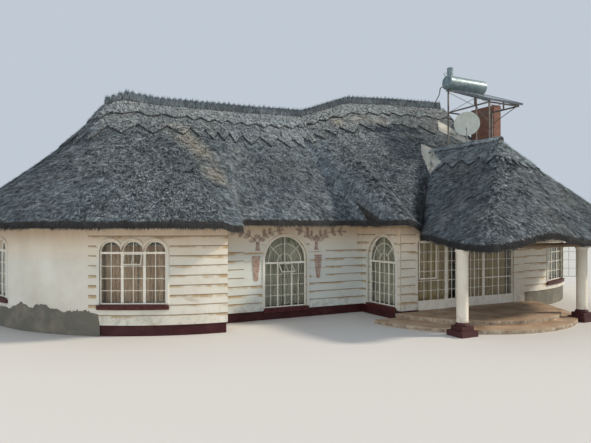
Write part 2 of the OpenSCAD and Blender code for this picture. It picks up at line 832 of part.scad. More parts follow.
left_stations = concat(
  fan(arc_points(left_c, left_eave_r, left_back_eave_a, hip_a, 13, eave_h), ridge_l, ridge_l),
  tail(fan(arc_points(left_c, left_eave_r, hip_a, left_front_a, 6, eave_h), ridge_l, bay_ridge_x))
);
front_eave = concat(
  [[bay_eave_x - corner_r, corner_y, eave_h]],
  tail(arc_points([bay_eave_x - corner_r, corner_y + corner_r], corner_r, 270, 360, 5, eave_h - corner_drop)),
  arc_points([bay_eave_x + fillet_r, centre_eave_y - fillet_r], fillet_r, 180, 90, 3, eave_h + centre_rise),
  [for (k = [1 : 4]) [blend(bay_eave_x + fillet_r, wing_eave_x - fillet_r, k / 5), centre_eave_y, eave_h + centre_rise]],
  arc_points([wing_eave_x - fillet_r, centre_eave_y - fillet_r], fillet_r, 90, 0, 3, eave_h + centre_rise),
  arc_points([wing_eave_x + 600, front_eave_y + 600], 600, 180, 270, 4, eave_h + centre_rise)
);
front_stations = concat(
  fan(front_eave, bay_ridge_x, valley_ridge_x - 400),
  [[valley_left + [0, 0, valley_step], ridge_at(valley_ridge_x)]]
);
function tail(list) = [for (k = [1 : len(list) - 1]) list[k]];

// The valley between the main roof and the wing roof, in plan a straight line on each side
function valley_at(low, t, lift) =
  let (p = blend(valley_top, low + [0, 0, thatch_t], t)) [p.x, p.y, p.z - thatch_t + lift * t];
valley_stations = concat(
  [for (j = [rows : -1 : 0]) [valley_at(valley_left, row_t[j], valley_step),
                              ridge_at(blend(wing_ridge_x, valley_ridge_x, row_t[j])), j == rows ? nose_cut : 0]],
  [for (j = [1 : rows]) [valley_at(valley_right, row_t[j], 0),
                         ridge_at(blend(wing_ridge_x, ridge_r, row_t[j])), j == rows ? nose_cut : 0]]
);
right_stations =
  fan(arc_points(right_c, right_eave_r, valley_right_a, right_back_eave_a, 14, eave_h), ridge_r, ridge_r);
back_left_eave = on_ring(left_c, left_eave_r, left_back_eave_a);
back_right_eave = on_ring(right_c, right_eave_r, right_back_eave_a);
back_stations = fan(
  [for (k = [0 : 11]) [blend(back_right_eave.x, back_left_eave.x, k / 11), back_eave_y, eave_h]],
  ridge_r, ridge_l
);

// Wing roof: the eave is a smooth curve through chosen points, raised between the columns
function out_front(x, out, z) = [x, front_y - out, z];
wing_eave_points = [
  valley_left, out_front(60, 1080, 2500), out_front(-120, 1800, 2400), out_front(-300, 2400, 2335),
  out_front(-480, 3180, 2290), out_front(-200, 3640, 2290), out_front(684, 3720, 2440),
  out_front(1680, 3720, 2610), out_front(2600, 3720, 2470), out_front(3900, 3680, 2350),
  out_front(5400, 3530, 2330), out_front(6800, 3030, 2380), out_front(7900, 2180, 2500),
  out_front(8500, 1180, 2700), valley_right
];
wing_ridge_f = [0, 0.25, 0.5, 0.75, 1, 1, 1, 1, 1, 1, 1, 0.95, 0.7, 0.35, 0];

function spline(p0, p1, p2, p3, f) =
  0.5 * ((2 * p1) + (p2 - p0) * f + (2 * p0 - 5 * p1 + 4 * p2 - p3) * f * f
         + (3 * p1 - p0 - 3 * p2 + p3) * f * f * f);
function pick(list, k) = list[max(0, min(len(list) - 1, k))];
valley_gap = [0, 1.5 * fit, 0];
wing_stations = [for (s = concat([
  for (k = [0 : len(wing_eave_points) - 2]) for (f = [0, 0.5])
    [spline(pick(wing_eave_points, k - 1), wing_eave_points[k], wing_eave_points[k + 1],
            pick(wing_eave_points, k + 2), f),
     [wing_ridge_x, blend(valley_y, wing_front_y, blend(wing_ridge_f[k], wing_ridge_f[k + 1], f)), wing_ridge_z]]
], [[valley_right, valley_top]])) [s[0] - valley_gap, s[1] - valley_gap]];

// A station's own cut at the eave, its length in plan, and where its thatch begins beside the ridge
function cut_of(s) = len(s) > 2 ? s[2] : nose_cut;
function reach_of(s) = norm([s[0].x - s[1].x, s[0].y - s[1].y]);
function start_of(s) = ridge_gap / reach_of(s);
// Height of the outer surface at fraction f between the ridge and the eave
function outer_z(s, f, power) = s[1].z - (s[1].z - s[0].z - thatch_t) * pow(f, power);
function row_point(s, j, power) =
  let (p = blend(s[1], s[0], blend(start_of(s), 1, row_t[j])))
    [p.x, p.y, outer_z(s, row_t[j], power) - (j == rows ? cut_of(s) : 0)];
function outer_rows(stations, power) = [for (s = stations) [for (j = [0 : rows]) row_point(s, j, power)]];
function station_under(s, power) =
  [for (j = [0 : rows]) row_point(s, j, power) - [0, 0, j == rows ? thatch_t - cut_of(s) : thatch_t]];

// Closed solid between an upper and a lower grid of points; a ring joins its last line to its first
module shell(upper, lower, ring = false) {
  n = len(upper);
  m = len(upper[0]);
  last = ring ? n - 1 : n - 2;
  function up(i, j) = (i % n) * m + j;
  function down(i, j) = n * m + (i % n) * m + j;
  function quad(a, b, c, d) = [[a, b, c], [a, c, d]];
  points = concat([for (line = upper) each line], [for (line = lower) each line]);
  faces = concat(
    [for (i = [0 : last]) for (j = [0 : m - 2])
      each quad(up(i, j), up(i + 1, j), up(i + 1, j + 1), up(i, j + 1))],
    [for (i = [0 : last]) for (j = [0 : m - 2])
      each quad(down(i, j), down(i, j + 1), down(i + 1, j + 1), down(i + 1, j))],
    [for (i = [0 : last]) each quad(up(i + 1, 0), up(i, 0), down(i, 0), down(i + 1, 0))],
    [for (i = [0 : last]) each quad(up(i, m - 1), up(i + 1, m - 1), down(i + 1, m - 1), down(i, m - 1))],
    ring ? [] : [for (j = [0 : m - 2]) each quad(up(0, j), up(0, j + 1), down(0, j + 1), down(0, j))],
    ring ? [] : [for (j = [0 : m - 2])
      each quad(up(n - 1, j + 1), up(n - 1, j), down(n - 1, j), down(n - 1, j + 1))]
  );
  polyhedron(points = points, faces = faces, convexity = 6);
}

module thatch(stations, power) {
  grid = outer_rows(stations, power);
  shell(grid, [for (s = stations) station_under(s, power)]);
}

chimney_x = 7880;
chimney_y = -2400;

module chimney_hole(gap) {
  translate([chimney_x - gap, chimney_y - gap, floor_h]) cube([chimney_w + 2 * gap, chimney_l + 2 * gap, chimney_h]);
}

module left_thatch() { color(thatch_grey) thatch(left_stations, sag); }
module front_thatch() { color(thatch_grey) thatch(front_stations, sag); }
module valley_thatch() { color(thatch_grey) difference() { thatch(valley_stations, sag); chimney_hole(fit); } }
module right_thatch() { color(thatch_grey) difference() { thatch(right_stations, sag); chimney_hole(fit); } }
module back_thatch() { color(thatch_grey) thatch(back_stations, sag); }
module wing_thatch() { color(thatch_grey) thatch(wing_stations, wing_sag); }

// Ridge layers follow the thatch below them, line by line
main_loop = concat(left_stations, tail(front_stations), tail(valley_stations), tail(right_stations),
                   tail([for (k = [0 : len(back_stations) - 2]) back_stations[k]]));
function mid_station(a, b, f) = [blend(a[0], b[0], f), blend(a[1], b[1], f), blend(cut_of(a), cut_of(b), f)];
// More stations between those of a line, off its own stations by a share of their distance
function finer(loop, share) =
  [for (k = [0 : len(loop) - 2]) for (f = [share, share + 0.5]) mid_station(loop[k], loop[k + 1], f)];
function ended(loop, share) = concat([loop[0]], finer(loop, share), [loop[len(loop) - 1]]);
function surface_z(s, t, power) =
  let (f = max(0, (t - start_of(s)) / (1 - start_of(s))))
    lookup(f, [for (j = [0 : rows]) [row_t[j], outer_z(s, row_t[j], power) - (j == rows ? cut_of(s) : 0)]]);

cap_lift = 14;
cap_l = 950;
cap_tip = 500;
saddle_l = 420;
saddle_tip = 160;
tip_lines = 4;
// How deep a ridge layer starts below its seat, before the thatch is cut from it
sunk = 45;

// Reach of a ridge layer down the slope: pointed tips at every pitch, in mm along the slope
function cap_reach(base, tip, phase) = base + tip * (1 - abs(1 - 2 * (phase - floor(phase))));
function cap_point(s, start_mm, reach_mm, f, power, lift) =
  let (t = blend(start_mm, min(reach_mm, row_t[3] * reach_of(s)), f) / reach_of(s),
       p = blend(s[1], s[0], t))
    [p.x, p.y, surface_z(s, t, power) + lift];

// A layer of the given thickness over a line of stations, seated at some height above the thatch
module cap(loop, base, tip, rows_n, power, seat) {
  function line(i, lift, thin) = [for (j = [0 : rows_n])
    cap_point(loop[i], ridge_gap + seat / 6, cap_reach(base, tip, i / tip_lines), j / rows_n, power,
              seat + lift + (cap_lift - thin * cap_t) * j / rows_n)];
  shell([for (i = [0 : len(loop) - 1]) line(i, cap_t, 0.35)], [for (i = [0 : len(loop) - 1]) line(i, -sunk, 0)]);
}

// What is cut from the ridge layers: the thatch near the ridge, a hair higher than it is
module thatch_band(loop, power) {
  upper = [for (s = loop) let (top = [for (j = [0 : 3]) row_point(s, j, power) + [0, 0, fit]],
                               in = blend(s[1], s[0], start_of(s) / 2))
    concat([[in.x, in.y, top[0].z]], top)];
  shell(upper, [for (line = upper) [for (p = line) p - [0, 0, 4 * sunk]]]);
}

// The ridge layers are made in two lengths that meet on the saddle between the two crests
split_n = 36;
ridge_split = ridge_l + split_n * comb_pitch;
loop_n = len(main_loop);
front_k = [for (k = [0 : loop_n - 2]) if (main_loop[k][1].x < ridge_split && main_loop[k + 1][1].x >= ridge_split) k][0];
back_k = [for (k = [0 : loop_n - 2]) if (main_loop[k][1].x > ridge_split && main_loop[k + 1][1].x <= ridge_split) k][0];
function crossing(k, x) =
  let (a = main_loop[k], b = main_loop[k + 1]) mid_station(a, b, (x - a[1].x) / (b[1].x - a[1].x));
left_part = concat([for (k = [back_k + 1 : loop_n - 1]) main_loop[k]], [for (k = [0 : front_k]) main_loop[k]]);
right_part = [for (k = [front_k + 1 : back_k]) main_loop[k]];
function left_loop(x) = concat([crossing(back_k, x)], left_part, [crossing(front_k, x)]);
function right_loop(x) = concat([crossing(front_k, x)], right_part, [crossing(back_k, x)]);
left_band = concat([main_loop[back_k]], left_part, [main_loop[front_k + 1]]);
right_band = concat([main_loop[front_k]], right_part, [main_loop[back_k + 1]]);

// Row of upright reed bundles along a length of the ridge
cap_seat = 2 * cap_t;
comb_t = 2 * ridge_gap + 50;
comb_gap = 12;
module comb(x0, count) {
  function foot(x) = [x, ridge_at(x).z + cap_seat - sunk];
  top = [for (k = [0 : count - 1]) let (x = x0 + k * comb_pitch, z = ridge_at(x).z + cap_seat + comb_h)
    each [[x + comb_gap, z - comb_h * 0.45], [x + comb_pitch * 0.15, z], [x + comb_pitch * 0.75, z - 12],
          [x + comb_pitch * 0.9, z - comb_h * 0.45]]];
  bottom = concat([foot(x0 + count * comb_pitch - comb_gap)], [for (k = [count - 1 : -1 : 1]) foot(x0 + k * comb_pitch)],
                  [foot(x0 + comb_gap)]);
  translate([0, comb_t / 2, 0]) rotate([90, 0, 0]) linear_extrude(comb_t) polygon(concat(top, bottom));
}

module ridge_layers(loop, saddle_loop, band, x0, count) {
  difference() {
    union() {
      cap(ended(loop, 0.25), cap_l, cap_tip, 2, sag, 0);
      cap(ended(saddle_loop, 0.1), saddle_l, saddle_tip, 1, sag, cap_t);
      comb(x0, count);
    }
    thatch_band(band, sag);
  }
}

module left_ridge_cap() { color(thatch_tan) ridge_layers(left_loop(ridge_split), left_loop(ridge_split - 2 * comb_gap), left_band, ridge_l, split_n); }
module right_ridge_cap() {
  color(thatch_tan) difference() {
    ridge_layers(right_loop(ridge_split + fit), right_loop(ridge_split + 2 * comb_gap), right_band,
                 ridge_split, floor((ridge_r - ridge_split) / comb_pitch));
    chimney_hole(fit);
  }
}

// The wing's ridge layer with a round roll of thatch along its top
roll_d = 240;
roll_z = wing_ridge_z + cap_t;
roll_l = valley_y - wing_front_y + ridge_gap;

module wing_roll_form() {
  translate([wing_ridge_x, wing_front_y - ridge_gap - 10, roll_z]) rotate([-90, 0, 0]) cylinder(d = roll_d, h = roll_l);
}

module wing_cap() {
  color(thatch_tan) difference() {
    union() {
      cap(finer(wing_stations, 0.25), cap_l - 50, cap_tip - 50, 2, wing_sag, 0);
      intersection() {
        wing_roll_form();
        translate([wing_ridge_x - roll_d, wing_front_y - roll_d, roll_z - sunk]) cube([2 * roll_d, 2 * roll_l, roll_d]);
      }
    }
    thatch_band(wing_stations, wing_sag);
  }
}

// Masonry between the wall tops and the underside of the thatch
fill_fn = 90;
fill_low = 2000;

module wall_plan() {
  difference() {
    union() {
      translate(left_c) circle(r = left_r, $fn = fill_fn);
      translate(right_c) circle(r = right_r, $fn = fill_fn);
      translate([left_c.x, centre_y]) square([round_span, back_y - centre_y]);
      translate([wing_x, front_y]) square([right_c.x - wing_x, -front_y]);
    }
    translate([left_c.x - left_r, back_y]) square([round_span + 2 * right_r, right_r]);
    translate([bay_x, -2 * left_r]) square([wing_x - bay_x, 2 * left_r + centre_y]);
  }
}

// Closed volume from below the eaves up to the underside of one stretch of thatch
module under_roof(stations, power, ring = false) {
  upper = [for (s = stations) [for (p = station_under(s, power)) p - [0, 0, fit]]];
  shell(upper, [for (line = upper) [for (p = line) [p.x, p.y, fill_low]]], ring);
}

// Narrow volumes along the right valley and under the wing's ridge that join the ones beside them
module under_valley(low) {
  half = 2 * ridge_gap;
  line = [for (t = row_t) valley_at(low, t, 0) - [0, 0, half]];
  shell([for (p = line) [p - [half, 0, 0], p + [half, 0, 0]]],
        [for (p = line) [[p.x - half, p.y, fill_low], [p.x + half, p.y, fill_low]]]);
}

module beam_filling() {
  color(white_wall) intersection() {
    translate([0, 0, wall_h + fit / 2]) linear_extrude(ridge_at(ridge_r).z - wall_h) difference() {
      wall_plan();
      offset(delta = -wall_t) wall_plan();
    }
    union() {
      under_roof(main_loop, sag, true);
      under_roof(wing_stations, wing_sag);
      under_valley(valley_right);
      translate([wing_ridge_x - 2 * ridge_gap, wing_front_y + thatch_t, fill_low])
        cube([4 * ridge_gap, valley_y - wing_front_y - thatch_t, wing_ridge_z - thatch_t - 3 * ridge_gap - fill_low]);
    }
  }
}

module chimney() {
  color(brick_red) translate([chimney_x, chimney_y, 0]) {
    cube([chimney_w, chimney_l, chimney_h - 160]);
    translate([0, 0, chimney_h - 160]) difference() {
      cube([chimney_w, chimney_l, 160]);
      translate([110, 110, 20]) cube([chimney_w - 220, chimney_l - 220, 160]);
    }
  }
}

// Solar water heater on its stand
tank_x = 4860;
tank_y = -2640;
stand_y = -4800;
stand_z = 7680;
angle_w = 50;
collector_w = 1800;
right_leg_y = -3500;
collector_t = 80;
rail_z = tank_z - tank_d / 2 - angle_w;
rail_drop = rail_z - stand_z;

module leg(x, y, z0, z1) { translate([x, y, z0]) cube([angle_w, angle_w, z1 - z0]); }
// Straight rod between two points
module rod(p, q, d) {
  v = q - p;
  translate(p) rotate([0, acos(v.z / norm(v)), atan2(v.y, v.x)]) cylinder(d = d, h = norm(v));
}

stand_x = [tank_x + 100, tank_x + 1690];
rail_tilt = atan2(rail_drop, tank_y - stand_y);
rail_run = norm([rail_drop, tank_y - stand_y]);
rail_l = rail_run - angle_w;
rail_sink = 12;
module heater_stand() {
  w = angle_w;
  leg_y = [stand_y, right_leg_y];
  mid_y = blend(tank_y, stand_y, 0.68);
  knee_z = stand_z - 800;
  brace_d = 20;
  brace_out = 12;
  rail_w = w - 8;
  color(galvanised) {
    difference() {
      for (k = [0, 1]) {
        leg(stand_x[k] - w / 2, tank_y - w / 2, thatch_h(stand_x[k], tank_y) - 100, rail_z + w);
        leg(stand_x[k] - w / 2, leg_y[k] - w / 2, thatch_h(stand_x[k], leg_y[k]) - 100, stand_z);
      }
      valley_thatch();
      wing_thatch();
    }
    for (x = stand_x) {
      translate([x - w / 2, stand_y - w / 2, stand_z - w]) cube([w, tank_y - stand_y + w, w]);
      translate([x - rail_w / 2, stand_y, stand_z]) rotate([rail_tilt, 0, 0]) translate([0, -w / 2, -rail_sink]) cube([rail_w, rail_l, w]);
      leg(x - w / 2, mid_y, stand_z - 1, stand_z + rail_drop * 0.32 + 10);
      rod([x - brace_out, tank_y, rail_z - 60], [x - brace_out, mid_y + w, stand_z - 20], brace_d);
      rod([x + brace_out, tank_y, stand_z - 20], [x + brace_out, mid_y, blend(rail_z, stand_z, 0.68)], brace_d);
    }
    rod([stand_x[0], stand_y, knee_z], [stand_x[0], mid_y, stand_z - w / 2], 30);
    rod([stand_x[1], right_leg_y, knee_z + 300], [stand_x[1], stand_y + 100, stand_z - w / 2], 30);
    for (y = [tank_y, stand_y]) translate([stand_x[0], y - w / 2, stand_z - w]) cube([stand_x[1] - stand_x[0], w, w]);
    for (x = stand_x) translate([x - w / 2, tank_y - 120, rail_z]) cube([w, 240, w]);
  }
}

// Rough height of the roof above a point in front of the ridge, for things that stand on the thatch
function side_of(o, a, p) = (a.x - o.x) * (p.y - o.y) - (a.y - o.y) * (p.x - o.x);
function roof_at(stations, power, x, y) =
  let (found = [for (k = [0 : len(stations) - 2]) for (f = [0 : 0.125 : 0.875])
        let (s = mid_station(stations[k], stations[k + 1], f), e = mid_station(stations[k], stations[k + 1], f + 0.125))
          if (side_of(s[1], s[0], [x, y]) >= 0 && side_of(e[1], e[0], [x, y]) < 0)
            surface_z(s, norm([x - s[1].x, y - s[1].y]) / reach_of(s), power)])
    len(found) > 0 ? max(found) : 0;
function thatch_h(x, y) = max(roof_at(valley_stations, sag, x, y), roof_at(wing_stations, wing_sag, x, y));

module hot_water_tank() {
  color(galvanised) translate([tank_x, tank_y, tank_z]) rotate([0, 90, 0]) rotate_extrude($fn = 64) polygon([
    [0, 0], [tank_d / 2 - 40, 0], [tank_d / 2, 30], [tank_d / 2, tank_l - 30], [tank_d / 2 - 40, tank_l], [0, tank_l]
  ]);
  color(galvanised) translate([tank_x + 200, tank_y, tank_z]) cylinder(d = 250, h = tank_d / 2 + 330);
}

module solar_collector() {
  run = rail_run - tank_d / 2 - 60;
  color("#2f3a44") translate([tank_x + 50, stand_y, stand_z]) rotate([rail_tilt, 0, 0])
    translate([0, -60, angle_w - rail_sink]) difference() {
      cube([collector_w, run, collector_t]);
      translate([30, 30, collector_t - 12]) cube([collector_w - 60, run - 60, 20]);
    }
}

// Dish on a short mast on the wing's ridge, facing the front left
dish_p = [wing_ridge_x, front_y + 1105, 6640];
dish_az = 222;
dish_tilt = 8;
dish_depth = 90;
mast_d = 48;

module dish_frame() {
  translate(dish_p) rotate([0, 0, dish_az + 90]) rotate([90 - dish_tilt, 0, 0]) children();
}

module dish() {
  steps = 8;
  bowl = [for (k = [0 : steps]) [dish_d / 2 * k / steps, dish_depth * pow(k / steps, 2)]];
  back = [for (k = [steps : -1 : 0]) [dish_d / 2 * k / steps, dish_depth * pow(k / steps, 2) - 10]];
  color("#c9cfc6") dish_frame() rotate_extrude($fn = 64) polygon(concat(bowl, back));
}

// Bracket behind the dish, mast down into the ridge, and the receiver's arm from below
module dish_arm() {
  mast_top = dish_p.z + 40;
  back = -10 - fit;
  color(galvanised) {
    dish_frame() {
      translate([-90, -110, back - 30]) cube([180, 220, 30]);
      translate([-15, -dish_d / 2 - 60, back - 30]) cube([30, dish_d / 2, 30]);
      translate([-15, -dish_d / 2 - 60, back - 30]) cube([30, 30, 200]);
      rod([0, -dish_d / 2 - 45, 150], [0, -dish_d / 2 + 150, 420], 24);
      translate([0, -dish_d / 2 + 150, 360]) cylinder(d = 60, h = 110);
    }
    difference() {
      translate([dish_p.x + mast_out.x, dish_p.y + mast_out.y, roll_z])
        cylinder(d = mast_d, h = mast_top - roll_z);
      wing_roll_form();
    }
    dish_frame() translate([-20, -60, back - 30 - 100]) cube([40, 120, 101]);
  }
}
mast_out = [-(90) * cos(dish_az), -(90) * sin(dish_az)];

floor_slab();
red_plinth();
right_plinth();
left_end_wall();
bay_wall();
bay_return_wall();
centre_wall();
wing_side_wall();
wing_return_wall();
porch_lintel();
porch_pier_wall();
right_end_wall();
right_rear_wall();
back_wall();
beam_filling();
window_sills();
casement_windows();
arched_windows();
window_glass();
porch_screen();
screen_glass();
porch_door_left();
porch_door_right();
left_door_glass();
right_door_glass();
porch_floor();
porch_step();
porch_columns();
porch_beams();
left_thatch();
front_thatch();
valley_thatch();
right_thatch();
back_thatch();
wing_thatch();
left_ridge_cap();
right_ridge_cap();
wing_cap();
chimney();
heater_stand();
solar_collector();
hot_water_tank();
dish();
dish_arm();
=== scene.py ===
import json
import math
import bmesh
import bpy
import numpy as np
from types import SimpleNamespace
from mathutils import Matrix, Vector
from mathutils.bvhtree import BVHTree


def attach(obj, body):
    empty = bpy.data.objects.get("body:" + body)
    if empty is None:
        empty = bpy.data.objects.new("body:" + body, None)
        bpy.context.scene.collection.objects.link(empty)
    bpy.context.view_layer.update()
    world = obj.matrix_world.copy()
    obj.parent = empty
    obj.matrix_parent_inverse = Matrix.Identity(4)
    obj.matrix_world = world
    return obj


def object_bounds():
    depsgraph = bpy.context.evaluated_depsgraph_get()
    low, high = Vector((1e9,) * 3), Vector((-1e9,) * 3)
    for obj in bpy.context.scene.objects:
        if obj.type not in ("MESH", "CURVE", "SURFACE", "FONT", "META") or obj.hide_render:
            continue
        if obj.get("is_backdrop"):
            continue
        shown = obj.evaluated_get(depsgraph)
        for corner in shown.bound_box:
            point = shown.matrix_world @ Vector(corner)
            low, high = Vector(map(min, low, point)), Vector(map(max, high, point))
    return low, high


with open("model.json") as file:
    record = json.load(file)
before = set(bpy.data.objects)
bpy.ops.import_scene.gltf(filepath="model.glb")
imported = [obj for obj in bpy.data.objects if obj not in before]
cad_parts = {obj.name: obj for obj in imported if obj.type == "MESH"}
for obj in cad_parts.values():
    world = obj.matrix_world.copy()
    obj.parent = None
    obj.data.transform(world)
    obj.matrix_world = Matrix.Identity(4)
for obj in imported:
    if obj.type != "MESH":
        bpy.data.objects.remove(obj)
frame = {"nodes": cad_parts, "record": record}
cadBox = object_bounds()
nodes = frame["nodes"]
rng = np.random.default_rng(11)
print("stage: frame loaded")


# One material's nodes, so that each look reads as a short list of steps
class Graph:
    def __init__(self, name, rough):
        self.mat = bpy.data.materials.new(name)
        self.mat.use_nodes = True
        self.tree = self.mat.node_tree
        self.inputs = self.tree.nodes["Principled BSDF"].inputs
        self.give("Roughness", rough)
        self.coords = self.tree.nodes.new("ShaderNodeTexCoord").outputs["Object"]

    def put(self, value, socket):
        if isinstance(value, bpy.types.NodeSocket):
            self.tree.links.new(value, socket)
        else:
            socket.default_value = value

    def give(self, key, value):
        self.put(value, self.inputs[key])

    def node(self, kind, values, **settings):
        node = self.tree.nodes.new("ShaderNode" + kind)
        for key, value in settings.items():
            setattr(node, key, value)
        for key, value in values.items():
            self.put(value, node.inputs[key])
        return node.outputs

    def mapped(self, scale):
        return self.node("Mapping", {"Vector": self.coords, "Scale": scale})["Vector"]

    def noise(self, scale, detail=4, rough=0.6, source=None):
        values = {"Vector": source or self.coords, "Scale": scale, "Detail": detail, "Roughness": rough}
        return self.node("TexNoise", values)["Fac"]

    def ramp(self, fac, stops):
        node = self.tree.nodes.new("ShaderNodeValToRGB")
        elements = node.color_ramp.elements
        while len(elements) < len(stops):
            elements.new(0.5)
        for element, (at, colour) in zip(elements, stops):
            element.position = at
            element.color = (*colour, 1)
        self.put(fac, node.inputs["Fac"])
        return node.outputs["Color"]

    def curve(self, fac, low, high, start=0.0, end=1.0):
        values = {"Value": fac, "From Min": low, "From Max": high, "To Min": start, "To Max": end}
        return self.node("MapRange", values)["Result"]

    def maths(self, kind, a, b=0.0):
        return self.node("Math", {0: a, 1: b}, operation=kind)["Value"]

    def times(self, a, b):
        return self.maths("MULTIPLY", a, b)

    def mix(self, fac, a, b):
        a, b = ((*c, 1) if isinstance(c, tuple) else c for c in (a, b))
        return self.node("Mix", {"Factor": fac, "A": a, "B": b}, data_type="RGBA")["Result"]

    def axis(self, name):
        return self.node("SeparateXYZ", {"Vector": self.coords})[name]

    def attribute(self, name):
        return self.node("Attribute", {}, attribute_name=name)["Fac"]

    def finish(self, colour, height=None, strength=0.0, distance=0.0, rough=None):
        self.give("Base Color", colour)
        if rough is not None:
            self.give("Roughness", rough)
        if height is not None:
            bump = self.node("Bump", {"Strength": strength, "Distance": distance, "Height": height})
            self.give("Normal", bump["Normal"])
        return self.mat


# The photograph's camera: level, 2.9 m above the ground, turned to the right of square
camera = {"place": (-10.8, -19.2, 2.88), "turn": -27.5, "focalPx": 530, "frameW": 591, "horizonDown": 6.5}


def placed(name, data):
    thing = bpy.data.objects.new(name, data)
    bpy.context.scene.collection.objects.link(thing)
    return thing


lens = bpy.data.cameras.new("photoCamera")
lens.sensor_width = 36
lens.lens = lens.sensor_width * camera["focalPx"] / camera["frameW"]
lens.shift_y = camera["horizonDown"] / camera["frameW"]
lens.clip_end = 400
cam = placed("photoCamera", lens)
cam.location = camera["place"]
cam.rotation_euler = (math.radians(90), 0, math.radians(camera["turn"]))
bpy.context.scene.camera = cam

# A warm, low sun from the right, a large soft light from the left and a pale blue sky.
# Each light: kind, energy, place, aim, side in metres or breadth in degrees, colour.
studio = {
    "sky": (0.8, 0.89, 1.0, 1),
    "skyStrength": 0.66,
    "sun": ("SUN", 3.2, (30, -15, 24), (0, 0, 2), 6, (1.0, 0.9, 0.76)),
    "front": ("AREA", 3400, (-37, -31, 13), (-4, 0, 3), 24, (1.0, 0.98, 0.95)),
    "floorHalf": 180,
    "floorColour": (0.62, 0.6, 0.57, 1),
}
world = bpy.data.worlds.new("studio")
bpy.context.scene.world = world
world.use_nodes = True
sky = world.node_tree.nodes["Background"].inputs
sky["Color"].default_value = studio["sky"]
sky["Strength"].default_value = studio["skyStrength"]
for name in ("sun", "front"):
    kind, energy, place, aim, size, colour = studio[name]
    light = bpy.data.lights.new(name, kind)
    light.energy = energy
    light.color = colour
    if kind == "AREA":
        light.size = size
    else:
        light.angle = math.radians(size)
    lamp = placed(name, light)
    lamp.location = place
    lamp.rotation_euler = (Vector(aim) - Vector(place)).to_track_quat("-Z", "Y").to_euler()
bpy.context.scene.view_settings.view_transform = "Standard"

s = studio["floorHalf"]
ground = bpy.data.meshes.new("floor")
ground.from_pydata([(-s, -s, 0), (s, -s, 0), (s, s, 0), (-s, s, 0)], [], [(0, 1, 2, 3)])
ground.materials.append(Graph("paleFloor", 0.95).finish(studio["floorColour"]))
floor = placed("floor", ground)
floor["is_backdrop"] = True
print("stage: camera, light and floor")

# The outer faces of the walls, which the looks, windows and reliefs share
leftRing = {"centre": (-5.28, 1.08), "radius": 6.48}
rightRing = {"centre": (5.28, 0.6), "radius": 6.72}
walls = {"centreY": -4.08, "wingX": -0.3, "returnY": -6.12, "backY": 4.8, "screenY": -6.05}

# Lime render: cream, with painted warm sunlight towards the top, brown grooves whose dark inner line is
# partly painted shade, streaky orange-brown below the eaves, mould at the foot, and a cool tint of painted
# shade
plasterLook = {
    "tones": [(0.3, (0.62, 0.585, 0.5)), (0.55, (0.72, 0.695, 0.61)), (0.75, (0.79, 0.775, 0.7))],
    "paintedShade": (0.58, 0.65, 0.64),
    "head": (0.95, 0.68, 0.42),
    "eaveStreak": (0.56, 0.34, 0.17),
    "eaveStreakZ": (2.45, 2.95),
    "grooveFirst": 0.54,
    "groovePitch": 0.264,
    "grooveStain": (0.42, 0.27, 0.11),
    "grooveDirtAndShade": (0.3, 0.2, 0.1),
    "mould": (0.2, 0.19, 0.14),
}


# How far a surface lies behind the wall's outer face, a ring or a plane
def recessOf(g, shape):
    kind, value = shape
    x, y = g.axis("X"), g.axis("Y")
    if kind == "ring":
        dx = g.maths("SUBTRACT", x, value["centre"][0])
        dy = g.maths("SUBTRACT", y, value["centre"][1])
        far = g.maths("SQRT", g.maths("ADD", g.times(dx, dx), g.times(dy, dy)))
        return g.maths("SUBTRACT", value["radius"], far)
    return g.maths("SUBTRACT", x if kind == "x" else y, value)


# Stains that run down from each groove in wedges, and the dark line inside it: brown dirt, darkened further
# as painted shade in the hollow
def grooveStains(g, colour, z, shape):
    first = plasterLook["grooveFirst"] - plasterLook["groovePitch"]
    step = g.maths("FRACT", g.maths("DIVIDE", g.maths("SUBTRACT", z, first), plasterLook["groovePitch"]))
    ends = g.curve(g.noise(1.7, 4, 0.6, g.mapped((1, 1, 0.9))), 0.42, 0.56)
    wedge = g.times(g.maths("SUBTRACT", g.noise(0.8, 3, 0.5, g.mapped((1, 1, 2.2))), 0.5), 0.9)
    under = g.times(g.curve(g.maths("ADD", step, wedge), 0.74, 0.96), ends)
    under = g.times(under, g.curve(step, 0.45, 0.8))
    colour = g.mix(g.times(under, 0.85), colour, plasterLook["grooveStain"])
    if shape:
        # The line in the groove's hollow is brown dirt and painted shade
        depth = recessOf(g, shape)
        inside = g.times(g.curve(depth, 0.002, 0.009), g.curve(depth, 0.04, 0.02))
        colour = g.mix(g.times(inside, 0.85), colour, plasterLook["grooveDirtAndShade"])
    return colour


def plasterMaterial(name, shape=None, grooved=True, dirt=1.0, paintedShade=0.0):
    g = Graph(name, 0.88)
    z = g.axis("Z")
    # The cool bluish tint mixed in here is painted shade
    colour = g.mix(paintedShade, g.ramp(g.noise(0.9, 5, 0.6), plasterLook["tones"]), plasterLook["paintedShade"])
    # Warmer and lighter towards the top of the wall: painted warm sunlight under the eaves
    colour = g.mix(g.times(g.curve(z, 1.9, 2.9), 0.55), colour, plasterLook["head"])
    # Streaky orange-brown, darker, just below the eaves
    streaks = g.noise(1.0, 5, 0.65, g.mapped((7, 7, 0.8)))
    eaves = g.times(g.curve(z, *plasterLook["eaveStreakZ"]), g.curve(streaks, 0.3, 0.6))
    colour = g.mix(g.times(eaves, 0.45), colour, plasterLook["eaveStreak"])
    if grooved:
        colour = grooveStains(g, colour, z, shape)
    mould = g.times(g.curve(z, 0.8, 0.32), g.curve(g.noise(5, 6, 0.7), 0.48, 0.62))
    colour = g.mix(g.times(mould, 0.42 * dirt), colour, plasterLook["mould"])
    height = g.maths("ADD", g.noise(38, 4, 0.7), g.times(g.noise(6, 5), 0.6))
    return g.finish(colour, height, 0.35, 0.006)


# Cream shaft, worn near the bottom, on a foot painted dark red up to a wavy line
columnLook = {"footTop": 0.372, "foot": (0.055, 0.011, 0.012), "worn": (0.34, 0.22, 0.17)}


